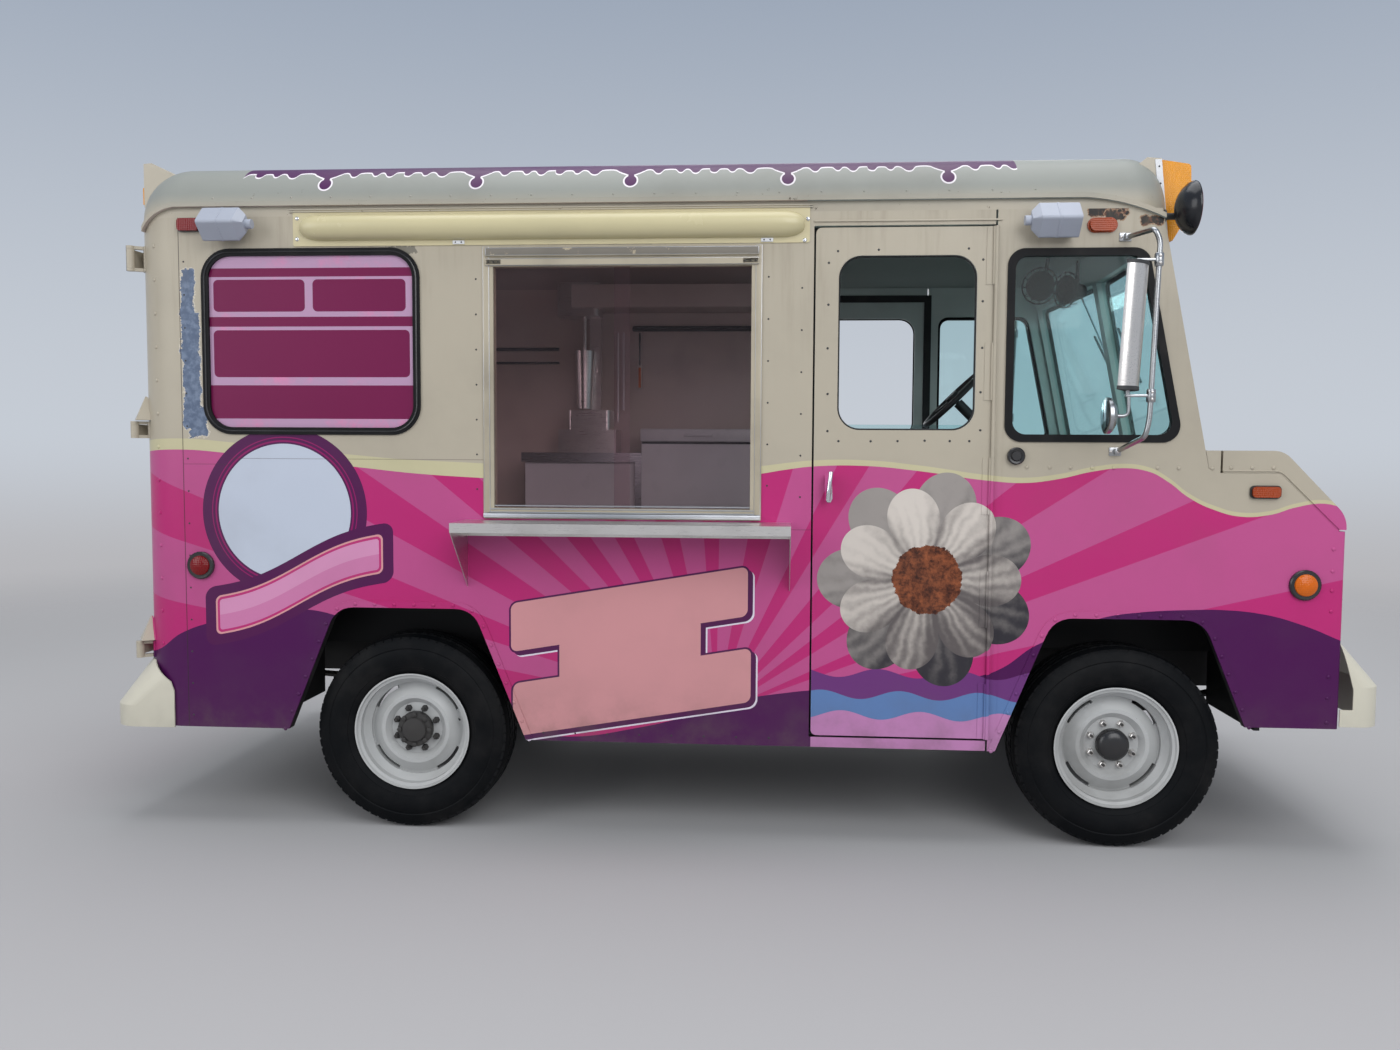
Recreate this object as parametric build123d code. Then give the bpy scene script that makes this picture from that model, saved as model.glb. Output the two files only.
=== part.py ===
from build123d import *
import os
from math import sin, cos, tan, atan, radians, degrees, sqrt

# Hooded walk-in food truck, in millimetres.
# +X points to the front, +Y to the truck's left, +Z up, and the origin lies on the ground at the middle
# of the overall length and width.

# Overall layout
wheelbase = 2625.0
front_overhang = 905.0
rear_overhang = 1170.0
body_width = 1950.0
wall = 40.0
skin_gap = 7.0
overall_length = front_overhang + wheelbase + rear_overhang
x_front_axle = overall_length / 2 - front_overhang
x_rear_axle = x_front_axle - wheelbase
half_width = body_width / 2
inner_half = half_width - wall

# Stations along the body, from the axles
x_rear = x_rear_axle - 1065.0
x_rear_seam = x_rear + 215.0
x_door_rear = x_front_axle - 1112.0
x_door_front = x_front_axle - 481.0
x_nose = x_front_axle + 752.0
nose_corner_r = 12.0
x_firewall = x_front_axle + 235.0

# Heights
z_sill = 363.0
z_rear_skirt = 385.0
z_front_skirt = 471.0
z_floor = 700.0
floor_thickness = 40.0
z_belt = 1390.0
z_cowl = 1456.0
z_roof_top = 2550.0
z_roof_base = z_roof_top - 250.0
z_roof_bend = z_roof_top - 245.0
roof_edge_r = 210.0
roof_thickness = 28.0
roof_rear_r = 200.0
roof_front_r = 140.0
gutter_z = z_roof_top - 213.0
gutter_height = 17.0
gutter_reach = 17.0
gutter_rise = 8.0

# Wheels and tyres
tyre_r = 371.0
tyre_crown = 5.0
wheel_centre_z = tyre_r
tyre_width = 222.0
wheel_mid_y = half_width - 150.5
rim_seat_r = 209.5
rim_lip_r = 223.0
rim_width = 195.0
rim_thickness = 6.0
lug_plane = 29.5
disc_thickness = 8.0
disc_r = 172.5
bowl_r = 107.0
hub_r = 59.0
hub_length = 150.0
spindle_r = 35.0
bearing_gap = 0.05
drum_r = 165.0
drum_wall = 12.0
drum_depth = 85.0
hand_holes = 4

# Steering and springs
kingpin_y = wheel_mid_y - 124.5
kingpin_r = 16.0
yoke_half = 35.0
beam_eye_height = 90.0
spring_y = 410.0
spring_width = 64.0
leaf_thickness = 11.0
front_spring_half = 560.0
rear_spring_half = 640.0

# Frame rails
rail_y = 430.0
rail_flange = 60.0
rail_height = 150.0
rail_wall = 8.0
z_rail_top = z_floor - floor_thickness
z_rail_bottom = z_rail_top - rail_height
cross_width = 60.0
z_cross_bottom = z_rail_bottom + 60.0
x_rail_rear = x_rear + 60.0
x_rail_front = x_nose - 30.0
x_jack_pad = x_front_axle - 750.0
jack_pad_half = 50.0
jack_pad_t = 8.0
x_cradle = x_front_axle + 150.0
cradle_length = 80.0
cradle_z = 450.0

# Wheel arches, trapezoids with rounded top corners
arch_bottom_half = 456.0
arch_bottom_z = 370.0
arch_top_half = 261.0
arch_top_z = 852.0
arch_corner_r = 95.0
front_arch_shift = 14.0
rear_arch_shift = -6.0
wheelhouse_wall = 20.0
wheelhouse_top = 880.0
rear_wheelhouse_y = wheel_mid_y - 224.5
front_wheelhouse_y = wheel_mid_y - 354.5
wheelhouse_gap = 8.0
splash_bottom = 450.0

# Side doors
door_bottom = 407.0
door_top = z_roof_top - 308.0
door_window_rear = 82.0
door_window_front = 61.0
door_window_bottom = 1523.0
door_window_top = z_roof_top - 407.0
door_window_r = 80.0
door_glass_show = 20.0
glass_thickness = 6.0
hinge_pin_r = 4.0
hinge_barrel_r = 7.0
hinge_stand_off = 9.0
hinge_leaf = 30.0
hinge_leaf_t = 2.5
hinge_knuckles = 4
hinge_axial_gap = 0.3

# Rear doors
rear_door_half = half_width - 200.0
rear_meeting_gap = 12.0
rear_door_bottom = 640.0
rear_door_top = z_roof_top - 350.0
rear_window_width = 430.0
rear_window_bottom = 1560.0
rear_window_top = z_roof_top - 480.0
rear_window_r = 70.0

# Serving side
serving_rear = x_rear_axle + 314.0
serving_front = x_rear_axle + 1310.0
serving_bottom = 1198.0
serving_top = z_roof_top - 366.0
serving_frame = 26.0
serving_header = 72.0
serving_flange = 14.0
shelf_rear = serving_rear - 79.0
shelf_front = serving_front + 122.0
shelf_top_z = serving_bottom - 11.0
shelf_depth = 225.0
shelf_lip = 34.0
sheet = 3.0
gusset_drop = 250.0
menu_rear = x_rear_axle - 764.0
menu_front = x_rear_axle + 66.0
menu_bottom = 1498.0
menu_top = z_roof_top - 366.0
menu_corner_r = 110.0
rubber = 27.0
rubber_proud = 6.0
awning_rear = x_rear_axle - 408.0
awning_front = x_rear_axle + 1490.0
awning_bottom = z_roof_top - 360.0
awning_top = z_roof_top - 228.0
awning_tube_r = 47.0
awning_dome = 80.0
awning_plate_t = 4.0

# Windscreen
pillar_x = x_front_axle + 263.0
pillar_slope = 0.2041
screen_vee = 45.0
screen_bottom = 1500.0
screen_top = z_roof_top - 370.0
centre_post = 60.0
pillar_width = 60.0

# Hood and nose
hood_crest_x = x_nose - 221.0
nose_shoulder_z = z_cowl - 229.0
hood_front_low = z_cowl - 276.0
hood_side_depth = 73.0
hood_side_x = x_nose - 228.0
hood_crest_r = 80.0
hood_shoulder_r = 100.0
nose_wall = 30.0
hood_t = 25.0
hood_gap = 8.0
lid_gap = 6.0


def block(x0, x1, y0, y1, z0, z1):
    """A box between two corners."""
    return Pos((x0 + x1) / 2, (y0 + y1) / 2, (z0 + z1) / 2) * Box(abs(x1 - x0), abs(y1 - y0), abs(z1 - z0))


def side_plate(sketch, y0, y1):
    """A sketch in X and Z, given its thickness from y0 to y1."""
    return extrude(Plane.XZ.offset(-y1) * sketch, y1 - y0, dir=(0, -1, 0))


def cross_plate(sketch, x0, x1):
    """A sketch in Y and Z, given its length from x0 to x1."""
    return extrude(Plane.YZ.offset(x0) * sketch, x1 - x0, dir=(1, 0, 0))


def outline(points, radius=0):
    """A polygon, with all its corners rounded if a radius is given."""
    shape = Polygon(*points, align=None)
    return fillet(shape.vertices(), radius) if radius else shape


def rounded(x0, x1, z0, z1, radius):
    """A rectangle with rounded corners, between two corners."""
    shape = RectangleRounded(x1 - x0, z1 - z0, radius) if radius else Rectangle(x1 - x0, z1 - z0)
    return Pos((x0 + x1) / 2, (z0 + z1) / 2) * shape


def rod_y(x, z, radius, y0, y1):
    """A round bar across the truck."""
    return Pos(x, (y0 + y1) / 2, z) * Rot(90, 0, 0) * Cylinder(radius, y1 - y0)


def rod_x(y, z, radius, x0, x1):
    """A round bar along the truck."""
    return Pos((x0 + x1) / 2, y, z) * Rot(0, 90, 0) * Cylinder(radius, x1 - x0)


def rod_z(x, y, radius, z0, z1):
    """An upright round bar."""
    return Pos(x, y, (z0 + z1) / 2) * Cylinder(radius, z1 - z0)


def other_side(shape):
    """The same piece on the other side of the truck."""
    return mirror(shape, about=Plane.XZ)


parts = {}


def keep(name, *shapes):
    """Store a node: all the solids of the shapes given."""
    solids = []
    for shape in shapes:
        solids.extend(shape.solids())
    parts[name] = solids


# Wheel arch outline
def arch(x_axle, shift, reach=0.0):
    x = x_axle + shift
    slope = (arch_bottom_half - arch_top_half) / (arch_top_z - arch_bottom_z)
    drop = 200.0
    bottom = arch_bottom_half + slope * drop + reach
    shape = Polygon((x - bottom, arch_bottom_z - drop), (x - arch_top_half - reach, arch_top_z + reach),
                    (x + arch_top_half + reach, arch_top_z + reach), (x + bottom, arch_bottom_z - drop),
                    align=None)
    top = shape.vertices().sort_by(Axis.Y)[-2:]
    return fillet(top, arch_corner_r)


front_arch = arch(x_front_axle, front_arch_shift)
rear_arch = arch(x_rear_axle, rear_arch_shift)


# Roof shell
def roof_form(inset):
    r = roof_edge_r - inset
    a = half_width - roof_edge_r
    b = z_roof_top - z_roof_bend
    crown_r = (a * a + b * b - roof_edge_r ** 2) / (2 * (b - roof_edge_r))
    crown_z = z_roof_top - crown_r
    tilt = atan(a / (z_roof_bend - crown_z))
    tangent_y = (crown_r - inset) * sin(tilt)
    tangent_z = crown_z + (crown_r - inset) * cos(tilt)
    middle = radians(90 - degrees(tilt)) / 2
    z_low = z_roof_base - (50.0 if inset else 0.0)
    half = half_width - inset
    right_arc = ThreePointArc((half, z_roof_bend), (a + r * cos(middle), z_roof_bend + r * sin(middle)),
                              (tangent_y, tangent_z))
    crown = ThreePointArc((tangent_y, tangent_z), (0, z_roof_top - inset), (-tangent_y, tangent_z))
    left_arc = ThreePointArc((-tangent_y, tangent_z), (-a - r * cos(middle), z_roof_bend + r * sin(middle)),
                             (-half, z_roof_bend))
    lines = Curve() + [Line((half, z_low), (half, z_roof_bend)), right_arc, crown, left_arc,
                       Line((-half, z_roof_bend), (-half, z_low)), Line((-half, z_low), (half, z_low))]
    body = cross_plate(make_face(lines), x_rear + inset, x_roof_front - inset)
    rear_face = body.faces().sort_by(Axis.X)[0]
    rear_edges = [e for e in rear_face.edges() if e.center().Z > z_low + 1]
    body = fillet(rear_edges, roof_rear_r - inset)
    front_face = body.faces().sort_by(Axis.X)[-1]
    front_edges = [e for e in front_face.edges() if e.center().Z > z_low + 1]
    return fillet(front_edges, roof_front_r - inset)


def pillar_line(z):
    """X of the windscreen's outer corner at a height."""
    return pillar_x - (z - z_cowl) * pillar_slope


x_roof_front = pillar_line(z_roof_base) + screen_vee

roof = roof_form(0) - roof_form(roof_thickness)


def rail_plan(inset):
    """The roof's plan with its rounded rear corners, at a distance inside the outer face."""
    shape = Polygon((x_rear + inset, -half_width + inset), (x_roof_front - inset, -half_width + inset),
                    (x_roof_front - inset, half_width - inset), (x_rear + inset, half_width - inset), align=None)
    return fillet(shape.vertices().sort_by(Axis.X)[:2], roof_rear_r - inset)


def rain_gutter():
    """The rail along the roof's edge, which bends down round the rear corners and towards the windscreen."""
    half = gutter_height / 2
    rear_end, rear_middle, rear_start = (x_rear + 45, -68.0), (x_rear + 116, -20.0), (x_rear + 205, gutter_rise)
    front_start, front_middle, front_end = ((x_roof_front - 313, gutter_rise), (x_roof_front - 160, -18.0),
                                            (x_roof_front - 37, -65.0))
    lines = Curve()
    for lift in (half, -half):
        points = [(x, gutter_z + z + lift) for x, z in (rear_end, rear_middle, rear_start,
                                                        front_start, front_middle, front_end)]
        lines = lines + [ThreePointArc(*points[:3]), Line(points[2], points[3]), ThreePointArc(*points[3:])]
    for x, z in (rear_end, front_end):
        lines = lines + Line((x, gutter_z + z - half), (x, gutter_z + z + half))
    strip = side_plate(make_face(lines), -half_width - 100, half_width + 100)
    low = gutter_z - 200
    ring = extrude(Pos(0, 0, low) * rail_plan(-gutter_reach), 400)
    ring = ring - extrude(Pos(0, 0, low) * rail_plan(-0.3), z_roof_base - low)
    return (ring - extrude(Pos(0, 0, z_roof_base) * rail_plan(6), 400)) & strip


keep("roof", roof + rain_gutter())


# Body sides
def body_side(y0, y1, openings):
    panel = outline([(x_rear_seam, z_rear_skirt), (x_rear_axle - arch_bottom_half, z_rear_skirt),
                     (x_rear_axle, z_sill), (x_door_front, z_sill), (x_door_front, z_roof_base),
                     (x_rear_seam, z_roof_base)])
    doorway = rounded(x_door_rear - skin_gap, x_door_front + 100, door_bottom - skin_gap, door_top + skin_gap, 4)
    panel = panel - rear_arch - doorway
    for opening in openings:
        panel = panel - opening
    return side_plate(panel, y0, y1)


serving_hole = rounded(serving_rear, serving_front, serving_bottom, serving_top, 6)
menu_hole = rounded(menu_rear + rubber / 2, menu_front - rubber / 2, menu_bottom + rubber / 2,
                    menu_top - rubber / 2, menu_corner_r - rubber / 2)
keep("side_wall_right", body_side(-half_width, -inner_half, [serving_hole, menu_hole]))
keep("side_wall_left", body_side(inner_half, half_width, []))


# Arms that carry the bumpers, inside the rails' webs
rear_arm_z0 = z_rail_bottom - 70
rear_arm_z1 = z_rail_bottom + 50
front_arm_z0 = z_rail_bottom + 15
front_arm_z1 = z_rail_bottom + 95


def bumper_arm(side):
    return sorted((side * (rail_y - rail_wall), side * (rail_y - rail_flange)))


# Rear frame: the rounded corners, header and sill round the rear doors
def rear_form(inset):
    shape = Polygon((x_rear + inset, -half_width + inset), (x_rear_seam, -half_width + inset),
                    (x_rear_seam, half_width - inset), (x_rear + inset, half_width - inset), align=None)
    corners = shape.vertices().sort_by(Axis.X)[:2]
    return fillet(corners, roof_rear_r - inset)


def rear_frame():
    shell = rear_form(0) - rear_form(wall) - (Pos(x_rear_seam + 50, 0) * Rectangle(100, body_width * 2))
    frame = extrude(Pos(0, 0, z_rear_skirt) * shell, z_roof_base - z_rear_skirt)
    doorway = block(x_rear - 50, x_rear_seam, -rear_door_half - skin_gap, rear_door_half + skin_gap,
                    rear_door_bottom - skin_gap, rear_door_top + skin_gap)
    frame = frame - doorway
    for side in (-1, 1):
        y0, y1 = bumper_arm(side)
        frame = frame - block(x_rear - 1, x_rear + wall + 1, y0 - 2, y1 + 2, rear_arm_z0 - 2, rear_arm_z1 + 2)
    return frame


rear_barrel_r = 15.0
rear_pin_r = 6.0
rear_hinge_ear = 12.0
rear_strap_t = 6.0
rear_hinge_x = x_rear - 8.0
rear_hinge_y = half_width - 62.0
rear_corner = (x_rear + roof_rear_r, half_width - roof_rear_r)
rear_hinge_turn = degrees(atan((rear_hinge_y - rear_corner[1]) / (rear_corner[0] - rear_hinge_x)))
rain_cap_half = 40.0
rain_cap_reach = 42.0
rain_cap_height = 90.0
rain_cap_t = 4.0
# height of the hinge's middle, half of its barrel, rain cap above it
rear_hinges = ((z_roof_top - 388.0, 35.0, False), (1515.0, 20.0, True), (668.0, 20.0, True))


def at_rear_hinge(reach, z, shape):
    """A shape set out along the left rear corner's normal, from the hinge's axis towards the body."""
    return Pos(rear_hinge_x, rear_hinge_y, z) * Rot(0, 0, -rear_hinge_turn) * Pos(reach, 0, 0) * shape


def rain_caps():
    """The pressed pyramids that shed rain off the lower hinges of the left rear door."""
    made = Part()
    body = extrude(Pos(0, 0, z_rear_skirt) * rear_form(wall / 2), z_roof_base - z_rear_skirt)
    for z, half, capped in rear_hinges:
        if capped:
            foot = z + half + rear_hinge_ear + 5
            outer = extrude(Rectangle(2 * rain_cap_half, 2 * rain_cap_half), rain_cap_height, taper=22)
            inner = extrude(Rectangle(2 * rain_cap_half - 2 * rain_cap_t, 2 * rain_cap_half - 2 * rain_cap_t),
                            rain_cap_height, taper=22)
            cap = outer - Pos(0, 0, -rain_cap_t) * inner
            made = made + (at_rear_hinge(rain_cap_reach, foot, cap) - body)
    return made


keep("rear_frame", rear_frame() + rain_caps() + other_side(rain_caps()))


# Rear doors
def rear_door(side):
    y0, y1 = sorted((side * rear_meeting_gap / 2, side * rear_door_half))
    leaf = cross_plate(Pos((y0 + y1) / 2, (rear_door_bottom + rear_door_top) / 2)
                       * RectangleRounded(y1 - y0, rear_door_top - rear_door_bottom, 25), x_rear, x_rear + wall)
    window = cross_plate(Pos((y0 + y1) / 2, (rear_window_bottom + rear_window_top) / 2)
                         * RectangleRounded(rear_window_width, rear_window_top - rear_window_bottom,
                                            rear_window_r), x_rear - 1, x_rear + wall + 1)
    glass = cross_plate(Pos((y0 + y1) / 2, (rear_window_bottom + rear_window_top) / 2)
                        * RectangleRounded(rear_window_width, rear_window_top - rear_window_bottom,
                                           rear_window_r), x_rear + 10, x_rear + 10 + glass_thickness)
    return leaf - window, glass


def rear_hinge_moving():
    """The straps and barrels of the left rear door's hinges, which are fixed to the door."""
    made = Part()
    for z, half, capped in rear_hinges:
        pad = block(x_rear - 2 * rear_strap_t, x_rear, rear_door_half - 110, rear_door_half - 2, z - half, z + half)
        strap = block(x_rear - 2 * rear_strap_t, x_rear - rear_strap_t, rear_door_half - 110, rear_hinge_y,
                      z - half, z + half)
        barrel = rod_z(rear_hinge_x, rear_hinge_y, rear_barrel_r, z - half, z + half)
        bore = rod_z(rear_hinge_x, rear_hinge_y, rear_pin_r + bearing_gap, z - 100, z + 100)
        made = made + (pad + strap + barrel - bore)
    return made


def rear_hinge_fixed():
    """The pins of the left rear door's hinges, and the brackets that hold them off the rounded corner."""
    made = []
    low = z_rear_skirt
    body = extrude(Pos(0, 0, low) * rear_form(-0.3), z_roof_base - low)
    foot_ring = extrude(Pos(0, 0, low) * rear_form(-5.3), z_roof_base - low) - body
    for z, half, capped in rear_hinges:
        ear_z = half + rear_hinge_ear
        piece = rod_z(rear_hinge_x, rear_hinge_y, rear_pin_r, z - ear_z, z + ear_z)
        for z0, z1 in ((z - ear_z, z - half - hinge_axial_gap), (z + half + hinge_axial_gap, z + ear_z)):
            arm = at_rear_hinge(40, (z0 + z1) / 2, Box(80, 16, z1 - z0)) - body
            piece = piece + rod_z(rear_hinge_x, rear_hinge_y, rear_barrel_r, z0, z1) + arm
        foot = foot_ring & at_rear_hinge(50, z, Box(60, 44, 2 * ear_z))
        made.append(piece + foot)
    return made


for side, word in ((-1, "right"), (1, "left")):
    leaf, glass = rear_door(side)
    straps = rear_hinge_moving()
    keep("rear_door_" + word, leaf + (straps if side > 0 else other_side(straps)))
    keep("rear_door_glass_" + word, glass)


# Side doors, right side first
hinge_x = x_door_front + skin_gap / 2
hinge_y = -half_width - hinge_stand_off
door_length = door_top - door_bottom
knuckle_pitch = door_length / (2 * hinge_knuckles + 1)


def side_door():
    panel = rounded(x_door_rear, x_door_front, door_bottom, door_top, 20)
    window = rounded(x_door_rear + door_window_rear, x_door_front - door_window_front, door_window_bottom,
                     door_window_top, door_window_r)
    leaf = side_plate(panel - window, -half_width, -inner_half)
    glass_x0 = x_door_rear + door_window_rear - 15
    glass_x1 = x_door_front - door_window_front + 15
    glass_top = door_window_bottom + door_glass_show
    glass_bottom = glass_top - (door_window_top - door_window_bottom) - 20
    y_mid = -half_width + wall / 2
    pocket = block(glass_x0 - 4, glass_x1 + 4, y_mid - 7, y_mid + 7, glass_bottom, door_window_bottom + 1)
    glass = block(glass_x0, glass_x1, y_mid - glass_thickness / 2, y_mid + glass_thickness / 2, glass_bottom,
                  glass_top)
    corner = block(glass_x0 - 5, glass_x1 + 5, y_mid - 10, y_mid + 10, door_window_bottom, glass_top + 1)
    opening = side_plate(window, y_mid - 12, y_mid + 12)
    glass = glass - (corner - opening)
    leaf = leaf - pocket
    for i in range(hinge_knuckles + 1):
        z0 = door_bottom + 2 * i * knuckle_pitch
        z1 = z0 + knuckle_pitch
        barrel = rod_z(hinge_x, hinge_y, hinge_barrel_r, z0 + hinge_axial_gap, z1 - hinge_axial_gap)
        strip = block(x_door_front - hinge_leaf, x_door_front - 1, hinge_y - 1, -half_width + 1,
                      z0 + hinge_axial_gap, z1 - hinge_axial_gap)
        strip = strip - block(x_door_front - hinge_leaf - 1, x_door_front - 8, hinge_y - 2,
                              -half_width - hinge_leaf_t, z0, z1)
        leaf = leaf + barrel + strip
    leaf = leaf - rod_z(hinge_x, hinge_y, hinge_pin_r + bearing_gap, door_bottom - 10, door_top + 10)
    handle = block(x_door_rear + 40, x_door_rear + 58, -half_width - 45, -half_width - 30, 1270, 1365)
    for z in (1275, 1345):
        handle = handle + block(x_door_rear + 42, x_door_rear + 56, -half_width - 40, -half_width, z, z + 15)
    return leaf + handle, glass


def side_door_hinge():
    piece = rod_z(hinge_x, hinge_y, hinge_pin_r, door_bottom, door_top)
    x_fixed = x_door_front + skin_gap
    for i in range(hinge_knuckles):
        z0 = door_bottom + (2 * i + 1) * knuckle_pitch
        z1 = z0 + knuckle_pitch
        piece = piece + rod_z(hinge_x, hinge_y, hinge_barrel_r, z0, z1)
        piece = piece + block(x_fixed + 1, x_fixed + 6, hinge_y - 1, -half_width, z0, z1)
    piece = piece + block(x_fixed + 1, x_fixed + hinge_leaf, -half_width - hinge_leaf_t, -half_width, door_bottom,
                          door_top)
    return piece


leaf, glass = side_door()
keep("door_right", leaf)
keep("door_glass_right", glass)
keep("door_left", other_side(leaf))
keep("door_glass_left", other_side(glass))
rear_pins = rear_hinge_fixed()
keep("door_hinges", side_door_hinge(), other_side(side_door_hinge()), *rear_pins, *[other_side(s) for s in rear_pins])


# Cab upper frame: quarter panels, windscreen pillars, header and centre post
def screen_prism(y0, y1, depth0, depth1, z0, z1):
    """A slanted prism along the vee of the windscreen, between two depths behind its outer face."""
    def vee(y):
        return pillar_line(z0) + screen_vee * (1 - abs(y) / half_width)
    plan = [(vee(y0) - depth0, y0), (vee(y1) - depth0, y1), (vee(y1) - depth1, y1), (vee(y0) - depth1, y0)]
    if y0 < 0 < y1:
        plan = [(vee(y0) - depth0, y0), (vee(0) - depth0, 0), (vee(y1) - depth0, y1), (vee(y1) - depth1, y1),
                (vee(0) - depth1, 0), (vee(y0) - depth1, y0)]
    face = Pos(0, 0, z0) * Polygon(*plan, align=None)
    rise = z1 - z0
    lean = Vector(-pillar_slope, 0, 1)
    return extrude(face, amount=rise * lean.length, dir=lean.normalized())


x_quarter_rear = x_door_front + skin_gap


def quarter_outline(inset):
    """The quarter window, whose front edge leans with the pillar."""
    low = z_belt + 93 + inset
    high = z_roof_top - 386.0 - inset
    rear = x_door_front + 44 + inset
    front_low = pillar_line(low) - 72 - inset
    front_high = pillar_line(high) - 72 - inset
    shape = outline([(rear, low), (front_low, low), (front_high, high), (rear, high)])
    return fillet(shape.vertices(), 60 - inset / 2)


def quarter_panel():
    panel = outline([(x_quarter_rear, z_belt), (pillar_line(z_belt), z_belt),
                     (pillar_line(z_roof_base), z_roof_base), (x_quarter_rear, z_roof_base)])
    return side_plate(panel - quarter_outline(rubber / 2), -half_width, -inner_half)


hood_rear = pillar_line(z_cowl) + screen_vee + 2 * hood_gap
hood_axis_x = hood_rear - hood_gap / 2
hood_axis_z = z_cowl + hinge_barrel_r + 1
hood_hinge_y = half_width - 355.0
hood_hinge_ys = (-hood_hinge_y, hood_hinge_y)


def cab_frame():
    band = screen_prism(-half_width, half_width, 0, wall, z_belt, z_roof_base)
    pane_edge = half_width - pillar_width
    for y0, y1 in ((-pane_edge, -centre_post / 2), (centre_post / 2, pane_edge)):
        band = band - screen_prism(y0, y1, -10, wall + 10, screen_bottom, screen_top)
    cowl_front = pillar_line(z_cowl) + screen_vee + hood_gap
    cowl_y = half_width - nose_wall
    cowl = block(pillar_line(z_cowl) - 5, cowl_front, -cowl_y, cowl_y, z_cowl - 20, z_cowl)
    for y in hood_hinge_ys:
        cowl = cowl + rod_y(hood_axis_x, hood_axis_z, hinge_pin_r, y - 45, y + 45)
        cowl = cowl + block(cowl_front - 28, cowl_front - 4, y - 45, y + 45, z_cowl, z_cowl + hinge_leaf_t)
        for y0 in (y - 45, y + 25.3):
            cowl = cowl + rod_y(hood_axis_x, hood_axis_z, hinge_barrel_r, y0, y0 + 19.7)
            cowl = cowl + block(cowl_front - 6, hood_axis_x, y0, y0 + 19.7, z_cowl, z_cowl + 8)
    frame = band + quarter_panel() + other_side(quarter_panel())
    return frame + cowl


keep("cab_frame", cab_frame())
pane_edge = half_width - pillar_width
screen_glass = [screen_prism(y0, y1, 12, 12 + glass_thickness, screen_bottom, screen_top)
                for y0, y1 in ((-pane_edge, -centre_post / 2), (centre_post / 2, pane_edge))]


# Window rubbers and the fixed glass
def rubber_ring(outer, hole, inner):
    proud = side_plate(outer - inner, -half_width - rubber_proud, -half_width)
    seat = side_plate(hole - inner, -half_width - rubber_proud, -half_width + 22)
    return proud + seat


menu_outer = rounded(menu_rear, menu_front, menu_bottom, menu_top, menu_corner_r)
menu_inner = rounded(menu_rear + rubber, menu_front - rubber, menu_bottom + rubber, menu_top - rubber,
                     menu_corner_r - rubber)
menu_rubber = rubber_ring(menu_outer, menu_hole, menu_inner)
quarter_rubber = rubber_ring(quarter_outline(0), quarter_outline(rubber / 2), quarter_outline(rubber))
quarter_glass = side_plate(quarter_outline(rubber), -half_width + 8, -half_width + 8 + glass_thickness)
keep("window_rubbers", menu_rubber, quarter_rubber, other_side(quarter_rubber))
keep("menu_board", side_plate(menu_inner, -half_width + 4, -half_width + 16))


def serving_window():
    """The sliding hatch's frame, with two header bars and the sill track."""
    outer = rounded(serving_rear, serving_front, serving_bottom, serving_top, 6)
    inner = rounded(serving_rear + serving_frame, serving_front - serving_frame,
                    serving_bottom + serving_frame + 8, serving_top - serving_header, 0)
    frame = side_plate(outer - inner, -half_width, -inner_half)
    flange = rounded(serving_rear - 14, serving_front + 14, serving_bottom - 6, serving_top + 4, 6) - inner
    bars = side_plate(flange, -half_width - 4, -half_width)
    for z in (serving_top - 24, serving_top - 56):
        bars = bars + block(serving_rear, serving_front, -half_width - 14, -half_width - 2, z - 12, z + 8)
    return frame + bars


def serving_glass():
    x_mid = (serving_rear + serving_front) / 2
    z0 = serving_bottom + serving_frame + 8
    z1 = serving_top - serving_header
    near = block(serving_rear + serving_frame, x_mid + 30, -half_width + 8, -half_width + 8 + glass_thickness, z0, z1)
    far = block(x_mid - 30, serving_front - serving_frame, -half_width + 22, -half_width + 22 + glass_thickness,
                z0, z1)
    return [near, far]


keep("serving_window", serving_window())
keep("fixed_glass", *screen_glass, quarter_glass, other_side(quarter_glass), *serving_glass())


# Service shelf on two gussets
def service_shelf():
    y_wall = -half_width
    y_edge = y_wall - shelf_depth
    z_low = serving_bottom - 6
    top = min(shelf_top_z, z_low)
    shelf = block(shelf_rear, shelf_front, y_edge, y_wall, top - sheet, top)
    shelf = shelf + block(shelf_rear, shelf_front, y_edge, y_edge + sheet, top - shelf_lip, top)
    shelf = shelf + block(shelf_rear, shelf_front, y_wall - sheet, y_wall, top - 60, top)
    gusset = Polygon((y_wall, top - 1), (y_edge + sheet, top - 1), (y_edge + sheet, top - shelf_lip),
                     (y_wall, top - gusset_drop), align=None)
    for x in (shelf_rear, shelf_front - sheet):
        shelf = shelf + cross_plate(gusset, x, x + sheet)
    return shelf


keep("service_shelf", service_shelf())


# Awning box above the serving side
def awning_hood():
    """A rolled awning's case: a tube with domed ends, half sunk in its plate on the wall."""
    y_wall = -half_width
    z_mid = (awning_bottom + awning_top) / 2
    plate = side_plate(rounded(awning_rear, awning_front, awning_bottom, awning_top, 8), y_wall - awning_plate_t,
                       y_wall)
    x0 = awning_rear + 30
    x1 = awning_front - 18
    r, tip = awning_tube_r, 12.0
    lines = Curve() + [Line((x0, 0), (x0, tip)),
                       ThreePointArc((x0, tip), (x0 + awning_dome * 0.33, r * 0.79), (x0 + awning_dome, r)),
                       Line((x0 + awning_dome, r), (x1 - awning_dome, r)),
                       ThreePointArc((x1 - awning_dome, r), (x1 - awning_dome * 0.33, r * 0.79), (x1, tip)),
                       Line((x1, tip), (x1, 0)), Line((x1, 0), (x0, 0))]
    roll = Pos(0, y_wall - 3, z_mid) * revolve(make_face(lines), Axis.X)
    return plate + (roll - block(x0 - 10, x1 + 10, y_wall, y_wall + 100, z_mid - 2 * r, z_mid + 2 * r))


keep("awning_hood", awning_hood())


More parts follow.
